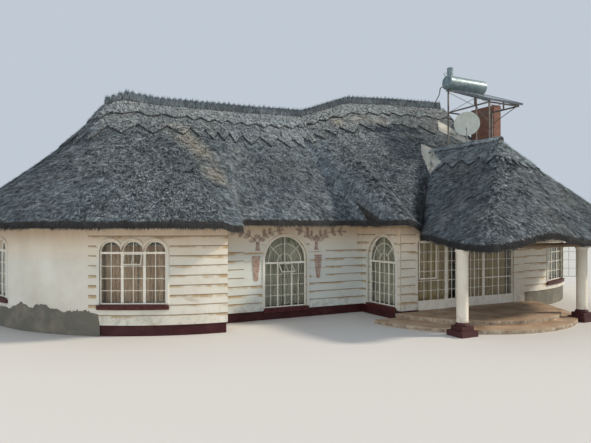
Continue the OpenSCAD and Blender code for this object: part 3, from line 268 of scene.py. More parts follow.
def columnMaterial():
    g = Graph("column", 0.7)
    z = g.axis("Z")
    shade = g.ramp(g.noise(1.6, 5), [(0.35, (0.66, 0.61, 0.5)), (0.7, (0.76, 0.72, 0.62))])
    worn = g.times(g.curve(z, 0.62, 0.37), g.curve(g.noise(7, 6, 0.7), 0.45, 0.62))
    shade = g.mix(g.times(worn, 0.7), shade, columnLook["worn"])
    foot = g.maths("LESS_THAN", g.maths("ADD", z, g.times(g.noise(9, 3), 0.012)), columnLook["footTop"])
    return g.finish(g.mix(foot, shade, columnLook["foot"]), g.noise(24, 4), 0.2, 0.004)


def paintMaterial(name, colour, dust, rough, scale=3.0):
    g = Graph(name, rough)
    wear = g.curve(g.noise(scale, 6, 0.65), 0.45, 0.72)
    g.give("Specular IOR Level", 0.3)
    return g.finish(g.mix(wear, colour, dust), g.noise(30, 4), 0.25, 0.004)


def screedMaterial():
    g = Graph("screed", 0.7)
    stops = [(0.3, (0.27, 0.165, 0.1)), (0.5, (0.42, 0.29, 0.19)), (0.7, (0.58, 0.45, 0.33))]
    polish = g.curve(g.noise(2.2, 4), 0.3, 0.7, 0.5, 0.85)
    return g.finish(g.ramp(g.noise(1.4, 7, 0.65), stops), g.noise(22, 5), 0.3, 0.006, polish)


def glassMaterial():
    g = Graph("glass", 0.04)
    g.give("Transmission Weight", 1.0)
    g.give("IOR", 1.28)
    return g.finish((0.93, 0.96, 0.95, 1), g.noise(1.5, 2), 0.03, 0.01)


def woodMaterial():
    g = Graph("pole", 0.75)
    grain = g.noise(4, 6, 0.7, g.mapped((0.6, 6, 6)))
    stops = [(0.35, (0.09, 0.055, 0.03)), (0.6, (0.22, 0.15, 0.09)), (0.8, (0.34, 0.25, 0.16))]
    return g.finish(g.ramp(grain, stops), grain, 0.5, 0.01)


brickLook = {
    "Scale": 1, "Brick Width": 0.23, "Row Height": 0.085, "Mortar Size": 0.006,
    "Color1": (0.17, 0.064, 0.042, 1), "Color2": (0.26, 0.105, 0.068, 1), "Mortar": (0.26, 0.21, 0.17, 1),
}


# Bricks laid along x + y, so that the courses run on round the chimney's corners
def brickMaterial():
    g = Graph("brick", 0.9)
    join = g.node("CombineXYZ", {"X": g.maths("ADD", g.axis("X"), g.axis("Y")), "Y": g.axis("Z")})
    brick = g.node("TexBrick", {"Vector": join["Vector"], **brickLook})
    shade = g.mix(g.curve(g.noise(5, 6), 0.5, 0.8), brick["Color"], (0.16, 0.1, 0.08))
    height = g.maths("SUBTRACT", g.times(g.noise(40, 4), 0.4), brick["Fac"])
    return g.finish(shade, height, 0.6, 0.012)


def stoneMaterial():
    g = Graph("stone", 0.9)
    stops = [(0.3, (0.16, 0.13, 0.1)), (0.5, (0.34, 0.29, 0.22)), (0.7, (0.56, 0.49, 0.38))]
    return g.finish(g.ramp(g.noise(6, 6, 0.6), stops), g.noise(26, 5), 0.6, 0.01)


def metalMaterial(name, low, high, rough, metallic):
    g = Graph(name, rough)
    g.give("Metallic", metallic)
    shade = g.ramp(g.noise(7, 6, 0.65), [(0.35, low), (0.65, high)])
    polish = g.curve(g.noise(9, 4), 0.3, 0.7, rough - 0.12, rough + 0.12)
    return g.finish(shade, g.noise(18, 4), 0.12, 0.004, polish)


# Reeds: each carries its own tone, with painted sunlight and shade in it, and how far it has kept its straw
# colour, warmed by painted sunlight
reedTones = {
    "grey": [(0.0, (0.018, 0.028, 0.038)), (0.35, (0.094, 0.138, 0.175)),
             (0.7, (0.27, 0.355, 0.415)), (1.0, (0.6, 0.7, 0.75))],
    "straw": [(0.0, (0.05, 0.04, 0.031)), (0.35, (0.22, 0.175, 0.13)),
              (0.7, (0.47, 0.395, 0.305)), (1.0, (0.74, 0.66, 0.54))],
}


def reedMaterial():
    g = Graph("reed", 0.85)
    grey, straw = (g.ramp(g.attribute("tone"), reedTones[key]) for key in ("grey", "straw"))
    g.give("Specular IOR Level", 0.2)
    return g.finish(g.mix(g.attribute("straw"), grey, straw))


# Reed thatch under the loose reeds, darkened near black as painted shade between the reeds and under the
# eaves
def paintedShadeThatchMaterial():
    g = Graph("paintedShadeThatch", 0.95)
    stops = [(0.35, (0.016, 0.015, 0.015)), (0.7, (0.085, 0.08, 0.076))]
    return g.finish(g.ramp(g.noise(9, 7, 0.7, g.mapped((1, 1, 0.3))), stops), g.noise(45, 5), 0.8, 0.03)


looks = {
    "plaster": plasterMaterial("plaster"),
    "red_paint": paintMaterial("redPaint", (0.042, 0.006, 0.008), (0.072, 0.02, 0.02), 0.6),
    "grey_render": paintMaterial("greyRender", (0.15, 0.145, 0.12), (0.25, 0.225, 0.175), 0.92, 2.0),
    "screed": screedMaterial(),
    "tile": paintMaterial("tile", (0.06, 0.009, 0.009), (0.11, 0.032, 0.026), 0.5, 8.0),
    "window_steel": paintMaterial("windowSteel", (0.86, 0.83, 0.73), (0.72, 0.66, 0.54), 0.4, 6.0),
    "glass": glassMaterial(),
    "thatch": paintedShadeThatchMaterial(),
    "pole": woodMaterial(),
    "brick": brickMaterial(),
    "galvanised": metalMaterial("galvanised", (0.17, 0.17, 0.165), (0.3, 0.3, 0.29), 0.6, 0.3),
    "collector": metalMaterial("collector", (0.1, 0.12, 0.14), (0.16, 0.18, 0.2), 0.25, 0.2),
    "dish_paint": metalMaterial("dishPaint", (0.44, 0.47, 0.42), (0.54, 0.57, 0.51), 0.55, 0.0),
    "relief": paintMaterial("relief", (0.36, 0.235, 0.185), (0.56, 0.46, 0.38), 0.85, 9.0),
    "stone": stoneMaterial(),
    "flashing": paintMaterial("flashing", (0.56, 0.54, 0.47), (0.36, 0.35, 0.31), 0.8, 5.0),
}
looks["thatch_cap"] = looks["thatch"]
ownLooks = {
    "porch_columns": columnMaterial(),
    "hot_water_tank": metalMaterial("tankSteel", (0.1, 0.155, 0.17), (0.24, 0.31, 0.32), 0.45, 0.35),
    "heater_stand": metalMaterial("standSteel", (0.1, 0.075, 0.06), (0.22, 0.2, 0.18), 0.7, 0.2),
    "left_end_wall": plasterMaterial("left_end_plaster", None, False),
}
# Grooved walls: ring or plane of the outer face, and how much painted shade, a cool bluish tint, its colour
# is given under deep eaves
wallShapes = {
    "bay_wall": ("ring", leftRing, 0.0),
    "right_end_wall": ("ring", rightRing, 0.0),
    "right_rear_wall": ("ring", rightRing, 0.0),
    "centre_wall": ("y", walls["centreY"], 0.6),
    "wing_side_wall": ("x", walls["wingX"], 0.5),
    "wing_return_wall": ("y", walls["returnY"], 0.0),
}
for name, (kind, value, paintedShade) in wallShapes.items():
    ownLooks[name] = plasterMaterial(name + "_plaster", (kind, value), paintedShade=paintedShade)
slotOf = {part["node"]: part["material_slot"] for part in frame["record"]["subparts"]}
for name, node in nodes.items():
    node.data.materials.clear()
    node.data.materials.append(ownLooks.get(name) or looks[slotOf[name]])
print("stage: materials on the CAD nodes")


# Smooth random field over space, from 0 to 1
def field(points, size, seed):
    scaled = points / size
    cell = np.floor(scaled).astype(np.int64)
    part = scaled - cell
    part = part * part * (3 - 2 * part)
    total = np.zeros(len(points))
    for corner in range(8):
        offset = np.array([corner & 1, corner >> 1 & 1, corner >> 2 & 1])
        key = (cell + offset) * np.array([73856093, 19349663, 83492791]) + seed * 2654435
        mixed = (key[:, 0] ^ key[:, 1] ^ key[:, 2]) & 0x7FFFFFFF
        mixed = (mixed ^ (mixed >> 13)) * 1274126177 & 0x7FFFFFFF
        value = (mixed ^ (mixed >> 16)) % 65536 / 65535
        weight = np.prod(np.where(offset == 1, part, 1 - part), axis=1)
        total += value * weight
    return total


upward = np.array([0, 0, 1.0])


def unit(v):
    return v / np.maximum(np.linalg.norm(v, axis=1), 1e-9)[:, None]


# What counts as a roof's top, a steep face and the comb: parts of the normal, distance from the long axis
slope = {"smallest": 1e-7, "top": 0.06, "steep": 0.55, "combHalf": 0.2, "combFacing": 0.95}


def triples(items, key, kind=np.float64):
    values = np.empty(len(items) * 3, dtype=kind)
    items.foreach_get(key, values)
    return values.reshape(-1, 3)


# Triangles of a CAD node: merged corners, flat normals and areas
def surfaceOf(name):
    mesh = nodes[name].data
    mesh.calc_loop_triangles()
    points = np.round(triples(mesh.vertices, "co"), 4)
    keys, merged = np.unique(points, axis=0, return_inverse=True)
    corners = merged.reshape(-1)[triples(mesh.loop_triangles, "vertices", np.int32)]
    a, b, c = (keys[corners[:, k]] for k in range(3))
    cross = np.cross(b - a, c - a)
    area = np.linalg.norm(cross, axis=1) / 2
    keep = area > slope["smallest"]
    corners, cross, area = corners[keep], cross[keep], area[keep]
    return keys, corners, cross / (2 * area[:, None]), area


# Random picks spread evenly over triangles: the triangle and the weights of its corners
def scatter(area, count):
    pick = rng.choice(len(area), count, p=area / area.sum())
    u, v = rng.random(count), rng.random(count)
    flip = u + v > 1
    u[flip], v[flip] = 1 - u[flip], 1 - v[flip]
    return pick, np.stack([1 - u - v, u, v], axis=1)


def blend(values, tri, weights):
    return sum(values[tri[:, k]] * weights[:, k:k + 1] for k in range(3))


# Samples on the top of a node, with smooth normals
def topSamples(name, count):
    keys, corners, normal, area = surfaceOf(name)
    top = normal[:, 2] > slope["top"]
    corners, normal, area = corners[top], normal[top], area[top]
    smooth = np.zeros_like(keys)
    for k in range(3):
        np.add.at(smooth, corners[:, k], normal * area[:, None])
    smooth = unit(smooth)
    pick, weights = scatter(area, count)
    tri = corners[pick]
    facing = blend(smooth, tri, weights)
    return blend(keys, tri, weights), facing / np.linalg.norm(facing, axis=1)[:, None]


# Samples on a node's steep faces between two heights, with the way that they face
def steepSamples(name, count, low, high, combs=False):
    keys, corners, normal, area = surfaceOf(name)
    middle = keys[corners].mean(axis=1)
    steep = (np.abs(normal[:, 2]) < slope["steep"]) & (middle[:, 2] > low) & (middle[:, 2] < high)
    comb = (np.abs(middle[:, 1]) < slope["combHalf"]) & (np.abs(normal[:, 1]) > slope["combFacing"])
    steep &= comb if combs else ~comb
    corners, normal, area = corners[steep], normal[steep], area[steep]
    pick, weights = scatter(area, count)
    return blend(keys, corners[pick], weights), normal[pick]


# One mesh of many reeds, each a long thin triangle
def reedMesh(name, root, tip, side, width, tone, straw):
    n = len(root)
    half = side * (width / 2)[:, None]
    points = np.stack([root - half, root + half, tip], axis=1).reshape(-1, 3)
    mesh = bpy.data.meshes.new(name)
    mesh.vertices.add(3 * n)
    mesh.vertices.foreach_set("co", points.ravel())
    mesh.loops.add(3 * n)
    mesh.loops.foreach_set("vertex_index", np.arange(3 * n, dtype=np.int32))
    mesh.polygons.add(n)
    mesh.polygons.foreach_set("loop_start", np.arange(0, 3 * n, 3, dtype=np.int32))
    mesh.update(calc_edges=True)
    for key, values in (("tone", tone), ("straw", straw)):
        layer = mesh.attributes.new(key, "FLOAT", "POINT")
        layer.data.foreach_set("value", np.repeat(np.clip(values, 0, 1), 3).astype(np.float32))
    mesh.materials.append(reedLook)
    piece = placed(name, mesh)
    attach(piece, "house")


# A smooth line through points in space
def smoothLine(points, steps=6):
    line = []
    for k in range(len(points) - 1):
        p = [Vector(points[max(0, min(len(points) - 1, k + d))]) for d in (-1, 0, 1, 2)]
        for i in range(steps):
            t = i / steps
            line.append(0.5 * (2 * p[1] + (p[2] - p[0]) * t + (2 * p[0] - 5 * p[1] + 4 * p[2] - p[3]) * t * t
                               + (3 * p[1] - p[0] - 3 * p[2] + p[3]) * t ** 3))
    return line + [Vector(points[-1])]


# A wall's own frame: x to the right seen from outside, out from the wall's face, z up
class Face:
    def __init__(self, x, y, angle, radius=0.0):
        self.x, self.y, self.angle, self.radius = x, y, angle, radius
        self.c, self.s = math.cos(math.radians(angle)), math.sin(math.radians(angle))

    def at(self, x, out, z):
        if self.radius:
            out = math.sqrt((self.radius + out) ** 2 - x * x) - self.radius
        return (self.x - self.s * x + self.c * out, self.y + self.c * x + self.s * out, z)

    def flat(self):
        return Face(self.x, self.y, self.angle)


def ringFace(ring, angle):
    (x, y), radius, a = ring["centre"], ring["radius"], math.radians(angle)
    return Face(x + radius * math.cos(a), y + radius * math.sin(a), angle, radius)


# Gathers boxes, plates, bands and tubes into one mesh
class Pieces:
    def __init__(self):
        self.points, self.faces = [], []

    def loft(self, rings):
        first, n, last = len(self.points), len(rings[0]), len(rings) - 1
        faces = [(r * n + k, r * n + (k + 1) % n, (r + 1) * n + (k + 1) % n, (r + 1) * n + k)
                 for r in range(last) for k in range(n)]
        faces += [tuple(range(n)), tuple(last * n + k for k in range(n))]
        self.points += [tuple(p) for ring in rings for p in ring]
        self.faces += [tuple(first + k for k in face) for face in faces]

    def plate(self, face, outline, out):
        self.loft([[face.at(x, o, z) for x, z in outline] for o in out])

    def box(self, face, x, z, out):
        self.plate(face, [(x[0], z[0]), (x[1], z[0]), (x[1], z[1]), (x[0], z[1])], out)

    def tube(self, path, radius):
        path = [Vector(p) for p in path]
        turns = [math.pi * i / 4 for i in range(8)]
        rings = []
        for k, p in enumerate(path):
            way = (path[min(k + 1, len(path) - 1)] - path[max(k - 1, 0)]).normalized()
            across = way.cross(Vector((0, 0, 1)))
            across = across.normalized() if across.length > 1e-3 else Vector((1, 0, 0))
            up = across.cross(way)
            rings.append([p + radius * (math.cos(t) * across + math.sin(t) * up) for t in turns])
        self.loft(rings)

    def make(self, name, slot, look=None, body="house", smooth=False):
        mesh = bpy.data.meshes.new(name)
        mesh.from_pydata(self.points, [], self.faces)
        form = bmesh.new()
        form.from_mesh(mesh)
        bmesh.ops.recalc_face_normals(form, faces=form.faces)
        form.to_mesh(mesh)
        form.free()
        if smooth:
            mesh.shade_smooth()
        mesh.materials.append(look or looks[slot])
        piece = placed(name, mesh)
        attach(piece, body)


archFaces = {"centre": Face(-3.258, walls["centreY"], 270), "wing": Face(walls["wingX"], -5.11, 180)}
tripleFaces = {
    "bay": ringFace(leftRing, 243.7),
    "west": ringFace(leftRing, 197.6),
    "back_left": Face(-6.3, walls["backY"], 90),
    "back_middle": Face(0, walls["backY"], 90),
    "back_right": Face(6.3, walls["backY"], 90),
}
roundFace = ringFace(rightRing, 290.5)
screenFace = Face(0, walls["screenY"], 270)

# Glazing bars: those up are slightly thinner than those across, so that no two faces coincide
bars = {"width": 0.016, "across": (-0.131, -0.113), "up": (-0.13, -0.114)}


def barUp(group, face, x, z, width=bars["width"], out=bars["up"]):
    group.box(face, (x - width / 2, x + width / 2), z, out)


def barAcross(group, face, x, z, width=bars["width"], out=bars["across"]):
    group.box(face, x, (z - width / 2, z + width / 2), out)


# Bars across each light at each row, then bars up at each column
def glazing(face, lights, rows, columns=(), columnZ=None, across=bars["across"], up=bars["up"]):
    group = Pieces()
    for light in lights:
        for z in rows:
            barAcross(group, face, light, z, out=across)
    for x in columns:
        barUp(group, face, x, columnZ, out=up)
    return group


# Panes pushed open: the depth of the hinge behind the wall's face, and the parts of the leaf
vent = {
    "depth": -0.105, "rim": 0.026, "thick": (0, 0.022), "glass": (0.009, 0.013),
    "up": (0.003, 0.019), "across": (0.004, 0.018),
}


# A pane hung at its top or its left side and pushed open, in the wall's frame turned by the tilt.
# cells are the panes across and up.
def openPane(name, face, x, top, size, tilt, cells, hung="top"):
    (w, h), rim = size, vent["rim"]
    c, s = math.cos(math.radians(tilt)), math.sin(math.radians(tilt))

    def at(u, out, v):
        z = top - h + v
        if hung == "top":
            return face.at(x + u, vent["depth"] + c * out + s * (h - v), z + (1 - c) * (h - v) + s * out)
        return face.at(x + c * u - s * out, vent["depth"] + s * u + c * out, z)

    tilted = SimpleNamespace(at=at)
    leaf = Pieces()
    for a in (0, w - rim):
        leaf.box(tilted, (a, a + rim), (0, h), vent["thick"])
    for b in (0, h - rim):
        leaf.box(tilted, (rim, w - rim), (b, b + rim), vent["thick"])
    for k in range(1, cells[0]):
        barUp(leaf, tilted, w * k / cells[0], (rim, h - rim), out=vent["up"])
    for k in range(1, cells[1]):
        barAcross(leaf, tilted, (rim, w - rim), h * k / cells[1], out=vent["across"])
    leaf.make(name, "window_steel")
    pane = Pieces()
    pane.box(tilted, (rim, w - rim), (rim, h - rim), vent["glass"])
    pane.make(name + "_glass", "glass")


arched = {
    "lights": [(-0.714, 0.714)], "rows": (0.732, 1.068, 1.404),
    "columns": (-0.493, 0, 0.493), "columnZ": (0.396, 1.74),
}
for where, face in archFaces.items():
    group = glazing(face, **arched)
    barUp(group, face, 0, (1.8, 2.05), out=bars["across"])
    group.make(where + "_window_bars", "window_steel")
openPane("centre_window_vent", archFaces["centre"], -0.236, 1.735, (0.472, 0.36), 46, (2, 1))

triple = {
    "lights": [(0.59 * k - 0.259, 0.59 * k + 0.259) for k in (-1, 0, 1)],
    "rows": [0.876 + 1.309 * k / 4 for k in (1, 2, 3)],
}
for where, face in tripleFaces.items():
    glazing(face.flat(), **triple).make(where + "_window_bars", "window_steel")
openPane("bay_window_vent", tripleFaces["bay"].flat(), -0.245, 2.185, (0.49, 0.33), 30, (2, 1))

rounded = {
    "lights": [(-0.905, -0.335), (-0.3, 0.3), (0.335, 0.905)], "rows": (1.24, 1.6, 1.96),
    "columns": (-0.62, 0.0, 0.62), "columnZ": (0.925, 2.285),
}
glazing(roundFace.flat(), **rounded).make("round_window_bars", "window_steel")
openPane("round_window_casement", roundFace.flat(), 0.9, 2.28, (0.56, 1.34), 62, (2, 4), "side")

# The porch screen: slim bars, a thicker cross at the right, a casement's frame at the left, two leaves
slim = {"rows": [0.87 + 0.31 * k for k in range(5)], "across": (-0.02, -0.003), "up": (-0.019, -0.004)}
screen = {
    "lights": ((0.42, 1.575), (3.385, 4.692)), "columns": (0.69, 0.985, 1.28, 3.76, 4.45),
    "columnZ": (0.56, 2.42), "post": 4.04, "rail": 1.18, "thick": 0.036, "frameX": (0.478, 1.185),
    "frameZ": (1.26, 2.42), "frameOut": (-0.001, 0.024), "leaves": {"left": 1.637, "right": 2.483},
}
group = glazing(screenFace, screen["lights"], columns=screen["columns"], columnZ=screen["columnZ"], **slim)
barUp(group, screenFace, screen["post"], screen["columnZ"], 0.04, (-0.021, 0.004))
barAcross(group, screenFace, screen["lights"][1], screen["rail"], screen["thick"], (-0.021, 0.003))
for x in screen["frameX"]:
    barUp(group, screenFace, x, screen["frameZ"], screen["thick"], screen["frameOut"])
for z in screen["frameZ"]:
    barAcross(group, screenFace, (0.46, 1.203), z, screen["thick"], screen["frameOut"])
group.make("screen_bars", "window_steel")
for side, x in screen["leaves"].items():
    lights, columns = [(x + 0.055, x + 0.785)], (x + 0.235, x + 0.605)
    group = glazing(screenFace, lights, columns=columns, columnZ=(0.56, 2.405), **slim)
    group.make(side + "_door_bars", "window_steel", body=side + "_door")
print("stage: window bars")

# Curtains, cut wider than their stretch of rail by the fullness, and the rail that each hangs on
cloth = {"fullness": 1.4, "deepest": 0.12, "rows": 10, "perFold": 22, "halvings": 14, "trim": 0.01}


def sheetArea(grid):
    total = 0.0
    for corner in (grid[:-1, :-1], grid[1:, 1:]):
        total += np.linalg.norm(np.cross(grid[1:, :-1] - corner, grid[:-1, 1:] - corner), axis=2).sum() / 2
    return total


# The folds' depth is found by halving, so that the curtain has the size that it is cut to
def curtain(name, face, x, z, out, look, folds, seed):
    pick = np.random.default_rng(seed)
    across, rows = cloth["perFold"] * folds, cloth["rows"]
    stretch, drop = x[1] - x[0], z[1] - z[0]
    width = cloth["fullness"] * stretch
    u = np.linspace(0, 1, across)
    phase = 2 * math.pi * folds * (u + 0.25 * np.sin(2 * math.pi * u * 2 + pick.uniform(0, 6)) / folds)
    swell = 1 + 0.3 * np.sin(2 * math.pi * u * 1.7 + pick.uniform(0, 6))

    def hang(depth):
        return np.array([[face.at(x[0] + stretch * a, out + d, z[0] + drop * v)
                          for a, d in zip(u, depth * swell * np.sin(phase + 0.5 * v))]
                         for v in np.linspace(0, 1, rows)])

    low, high = 0.0, cloth["deepest"]
    for _ in range(cloth["halvings"]):
        middle = (low + high) / 2
        if sheetArea(hang(middle)) < width * drop:
            low = middle
        else:
            high = middle
    faces = [(r * across + k, r * across + k + 1, (r + 1) * across + k + 1, (r + 1) * across + k)
             for r in range(rows - 1) for k in range(across - 1)]
    mesh = bpy.data.meshes.new(name)
    mesh.from_pydata([tuple(p) for p in hang(middle).reshape(-1, 3)], [], faces)
    mesh.shade_smooth()
    mesh.materials.append(look)
    piece = placed(name, mesh)
    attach(piece, "house")


# A rail that follows the wall, with a bracket to it near each end
track = {"steps": 12, "radius": 0.012, "reach": 0.05, "inset": 0.02, "bracket": 0.008, "wall": -0.228}


def rail(name, face, x, z, out):
    group, b = Pieces(), track["bracket"]
    places = [x[0] + (x[1] - x[0]) * k / track["steps"] for k in range(track["steps"] + 1)]
    group.tube([face.at(a, out, z) for a in places], track["radius"])
    for a in (x[0] + track["inset"], x[1] - track["inset"]):
        group.box(face, (a - b, a + b), (z - b, z + b), (out, track["wall"]))
    group.make(name, "window_steel")


def clothMaterial(name, low, high):
    g = Graph(name, 0.95)
    weave = g.noise(60, 4, 0.7, g.mapped((1, 1, 0.15)))
    g.give("Sheen Weight", 0.2)
    return g.finish(g.mix(g.curve(g.noise(1.3, 4), 0.35, 0.65), low, high), weave, 0.2, 0.003)


tanCloth = clothMaterial("tanCloth", (0.6, 0.42, 0.28), (0.74, 0.56, 0.4))
greyCloth = clothMaterial("greyCloth", (0.42, 0.4, 0.29), (0.58, 0.55, 0.42))
ochreCloth = clothMaterial("ochreCloth", (0.44, 0.31, 0.13), (0.62, 0.46, 0.22))
# Each window's two curtains: x of their outer edges and their meeting, z, distance in, cloth, folds
drapes = {
    "bay": (tripleFaces["bay"], (-1.02, 0.05, 1.02), (0.86, 2.4), -0.42, tanCloth, 8),
    "west": (tripleFaces["west"], (-1.02, 0.0, 1.02), (0.86, 2.4), -0.42, greyCloth, 10),
    "centre": (archFaces["centre"], (-0.95, 0.02, 0.95), (0.4, 2.66), -0.33, greyCloth, 10),
    "wing": (archFaces["wing"], (-0.95, -0.1, 0.66), (0.4, 2.66), -0.33, greyCloth, 9),
    "round": (roundFace, (-1.02, -0.25, 0.9), (0.9, 2.42), -0.42, greyCloth, 8),
    "screen_left": (screenFace, (0.44, 1.05, 2.00), (0.34, 2.44), -0.27, ochreCloth, 7),
    "screen_right": (screenFace, (2.72, 3.7, 4.66), (0.34, 2.44), -0.27, ochreCloth, 8),
}
for where in ("back_left", "back_middle", "back_right"):
    drapes[where] = (tripleFaces[where], (-1.0, 0.0, 1.0), (0.86, 2.4), -0.33, greyCloth, 8)
for k, (where, (face, x, z, out, look, folds)) in enumerate(drapes.items()):
    bar = where + "_curtain_rail"
    rail(bar, face, (x[0] - track["reach"], x[2] + track["reach"]), z[1] + track["radius"], out)
    for side, (a, b) in (("left", x[:2]), ("right", x[1:])):
        name = where + "_curtain_" + side
        curtain(name, face, (a + cloth["trim"], b - cloth["trim"]), z, out, look, folds, 20 + k)
print("stage: curtains")

# Plaster bands round the openings: half width, spring or head, and foot of each kind of window
moulding = {
    "width": 0.078, "proud": 0.03, "rounding": 0.12, "steps": 24, "gap": 0.001, "least": 0.004,
    "arch": (0.752, 1.88, 0.38), "triple": (0.296, 2.245, 0.86), "pitch": 0.59, "round": (0.952, 2.332, 0.9),
}


# A band between an inner and an outer line, proud of a wall, with a slightly rounded outer edge
def band(group, face, pairs, proud):
    rings = []
    for (ix, iz), (ox, oz) in pairs:
        ex, ez = ox + (ix - ox) * moulding["rounding"], oz + (iz - oz) * moulding["rounding"]
        rings.append([face.at(ix, 0, iz), face.at(ix, proud, iz), face.at(ex, proud, ez), face.at(ox, 0, oz)])
    group.loft(rings)


# The two lines of an arch's band. An end that isn't free meets the next arch and stays in its own half.
def archPairs(half, spring, foot, middle=0.0, ends=(True, True)):
    width = moulding["width"]
    pairs = []
    for k in range(moulding["steps"] + 1):
        a = math.pi * k / moulding["steps"]
        c, s = math.cos(a), math.sin(a)
        free = ends[0] if c > 0 else ends[1]
        reach = half + width if free else min(half + width, (half - moulding["gap"]) / max(abs(c), 1e-6))
        reach = max(reach, half + moulding["least"])
        pairs.append(((middle + half * c, spring + half * s), (middle + reach * c, spring + reach * s)))
    if ends[0]:
        pairs.insert(0, ((middle + half, foot), (middle + half + width, foot)))
    if ends[1]:
        pairs.append(((middle - half, foot), (middle - half - width, foot)))
    return pairs


group = Pieces()
for face in archFaces.values():
    band(group, face, archPairs(*moulding["arch"]), moulding["proud"])
for face in tripleFaces.values():
    for k, ends in ((1, (True, False)), (0, (False, False)), (-1, (False, True))):
        band(group, face, archPairs(*moulding["triple"], moulding["pitch"] * k, ends), moulding["proud"])
(half, head, foot), w = moulding["round"], moulding["width"]
pairs = [((half, foot), (half + w, foot)), ((half, head), (half + w, head + w))]
pairs += [((-ix, iz), (-ox, oz)) for (ix, iz), (ox, oz) in reversed(pairs)]
band(group, roundFace, pairs, moulding["proud"])
# The mouldings' plaster has a little painted shade, a cool tint, mixed in
mouldingPlaster = plasterMaterial("mouldingPlaster", None, False, 0.3, 0.25)
group.make("window_mouldings", "plaster", mouldingPlaster)

# Quarry tiles on the sills, reaching a little past the opening, above a row of upright ones
sill = {"tile": 0.152, "joint": 0.002, "thick": 0.026, "lift": 0.0015, "out": (0.034, 0.075)}
laid = [(face, 0.96, 0.835) for face in tripleFaces.values()] + [(roundFace, 1.03, 0.875)]
laid += [(face, 0.8, 0.355) for face in archFaces.values()]
group = Pieces()
for face, half, top in laid:
    count = int(2 * half / sill["tile"])
    for k in range(count):
        start, end = (-half + 2 * half * n / count for n in (k, k + 1))
        x = (start + sill["joint"], end - sill["joint"])
        lift, under = rng.uniform(-sill["lift"], sill["lift"]), top - sill["thick"]
        group.box(face, x, (under + lift, top + lift), sill["out"])
        group.box(face, x, (top - 0.128, under - 0.003), (0.0, 0.059))
group.make("sill_tiles", "tile")

# Smooth plaster behind the branches beside the arched window, over the wall's top grooves
backing = {"z": (2.27, 2.98), "thick": 0.005, "x": (-1.95, 2.7), "arch": 0.84, "degrees": range(28, 153, 4)}
group, face = Pieces(), archFaces["centre"]
reach, spring = backing["arch"], moulding["arch"][1]
for x in ((backing["x"][0], -reach), (reach, backing["x"][1])):
    group.box(face, x, backing["z"], (0.0, backing["thick"]))
crown = [((reach * math.cos(a), spring + reach * math.sin(a)), (reach * math.cos(a), backing["z"][1]))
         for a in map(math.radians, backing["degrees"])]
band(group, face, crown, backing["thick"])
# This plaster has painted shade, a cool tint, mixed in as on the centre wall
plainPlaster = plasterMaterial("plainPlaster", None, False, 0.3, 0.6)
group.make("relief_ground", "plaster", plainPlaster)

# Leafy branches, each pair from a bound foot above a banded drop
relief = {
    "stem": 0.034, "taper": 0.6, "stemProud": 0.02, "steps": 8, "first": 4, "every": 6,
    "length": 0.2, "breadth": 0.092, "vary": (0.85, 1.1), "turn": (0.75, 1.05), "endLeaf": (0.17, 0.06),
    "rim": 0.014, "rimProud": 0.017, "midrib": (0.012, 0.009, 0.005), "midribProud": 0.024,
    "vein": (0.007, 0.005), "veinProud": 0.012, "feet": (-1.0, 1.09), "drops": (-1.05, 1.16), "dropRows": 10,
}
branches = [
    [(-1.0, 2.4), (-1.2, 2.6), (-1.48, 2.73), (-1.8, 2.79)],
    [(-1.0, 2.4), (-0.83, 2.6), (-0.607, 2.715), (-0.26, 2.8)],
    [(1.09, 2.4), (0.96, 2.6), (0.788, 2.7), (0.493, 2.8)],
    [(1.09, 2.4), (1.22, 2.58), (1.39, 2.67), (1.78, 2.76), (2.1, 2.76)],
]


# A raised line on a wall, with its own width at each point
def stalk(group, face, line, widths, proud):
    pairs = []
    for k, (x, z) in enumerate(line):
        a, b = line[max(k - 1, 0)], line[min(k + 1, len(line) - 1)]
        way = math.hypot(b[0] - a[0], b[1] - a[1])
        nx, nz = -(b[1] - a[1]) / way * widths[k] / 2, (b[0] - a[0]) / way * widths[k] / 2
        pairs.append(((x + nx, z + nz), (x - nx, z - nz)))
    band(group, face, pairs, proud)


# An outlined leaf with a midrib and three pairs of side veins
def leaf(group, face, x, z, angle, length, breadth):
    c, s = math.cos(angle), math.sin(angle)

    def spot(along, aside):
        return (x + c * length * along - s * aside, z + s * length * along + c * aside)

    outline, steps = [], relief["steps"]
    for side in (1, -1):
        for k in range(steps):
            t = k / steps if side > 0 else 1 - k / steps
            outline.append(spot(t, side * breadth / 2 * math.sin(math.pi * t) ** 0.8))
    outline.append(outline[0])
    stalk(group, face, outline, [relief["rim"]] * len(outline), relief["rimProud"])
    for t in (0.25, 0.45, 0.65):
        for side in (1, -1):
            ends = [spot(t, 0.0), spot(t + 0.16, side * breadth * 0.4)]
            stalk(group, face, ends, relief["vein"], relief["veinProud"])
    stalk(group, face, [spot(t, 0.0) for t in (0.0, 0.45, 0.85)], relief["midrib"], relief["midribProud"])


# A raised block with its own half widths at the foot and at the head
def block(group, face, x, z, foot, head, proud):
    group.plate(face, [(x - foot, z[0]), (x + foot, z[0]), (x + head, z[1]), (x - head, z[1])], (0.0, proud))


group = Pieces()
for line in branches:
    path = [(p.x, p.y) for p in smoothLine([(x, z, 0) for x, z in line], relief["steps"])]
    n = len(path)
    widths = [relief["stem"] * (1 - relief["taper"] * k / n) for k in range(n)]
    stalk(group, face, path, widths, relief["stemProud"])
    for k in range(relief["first"], n - 2, relief["every"]):
        (ax, az), (bx, bz) = path[k - 1], path[k]
        way = math.atan2(bz - az, bx - ax)
        for side in (1, -1):
            length = relief["length"] * rng.uniform(*relief["vary"])
            leaf(group, face, bx, bz, way + side * rng.uniform(*relief["turn"]), length, relief["breadth"])
    (ax, az), (bx, bz) = path[-2:]
    leaf(group, face, bx, bz, math.atan2(bz - az, bx - ax), *relief["endLeaf"])
for x in relief["feet"]:
    for k, half in enumerate((0.075, 0.06, 0.05, 0.06)):
        z = 2.17 + 0.062 * k
        block(group, face, x, (z, z + 0.05), half, half * 0.85, 0.026)
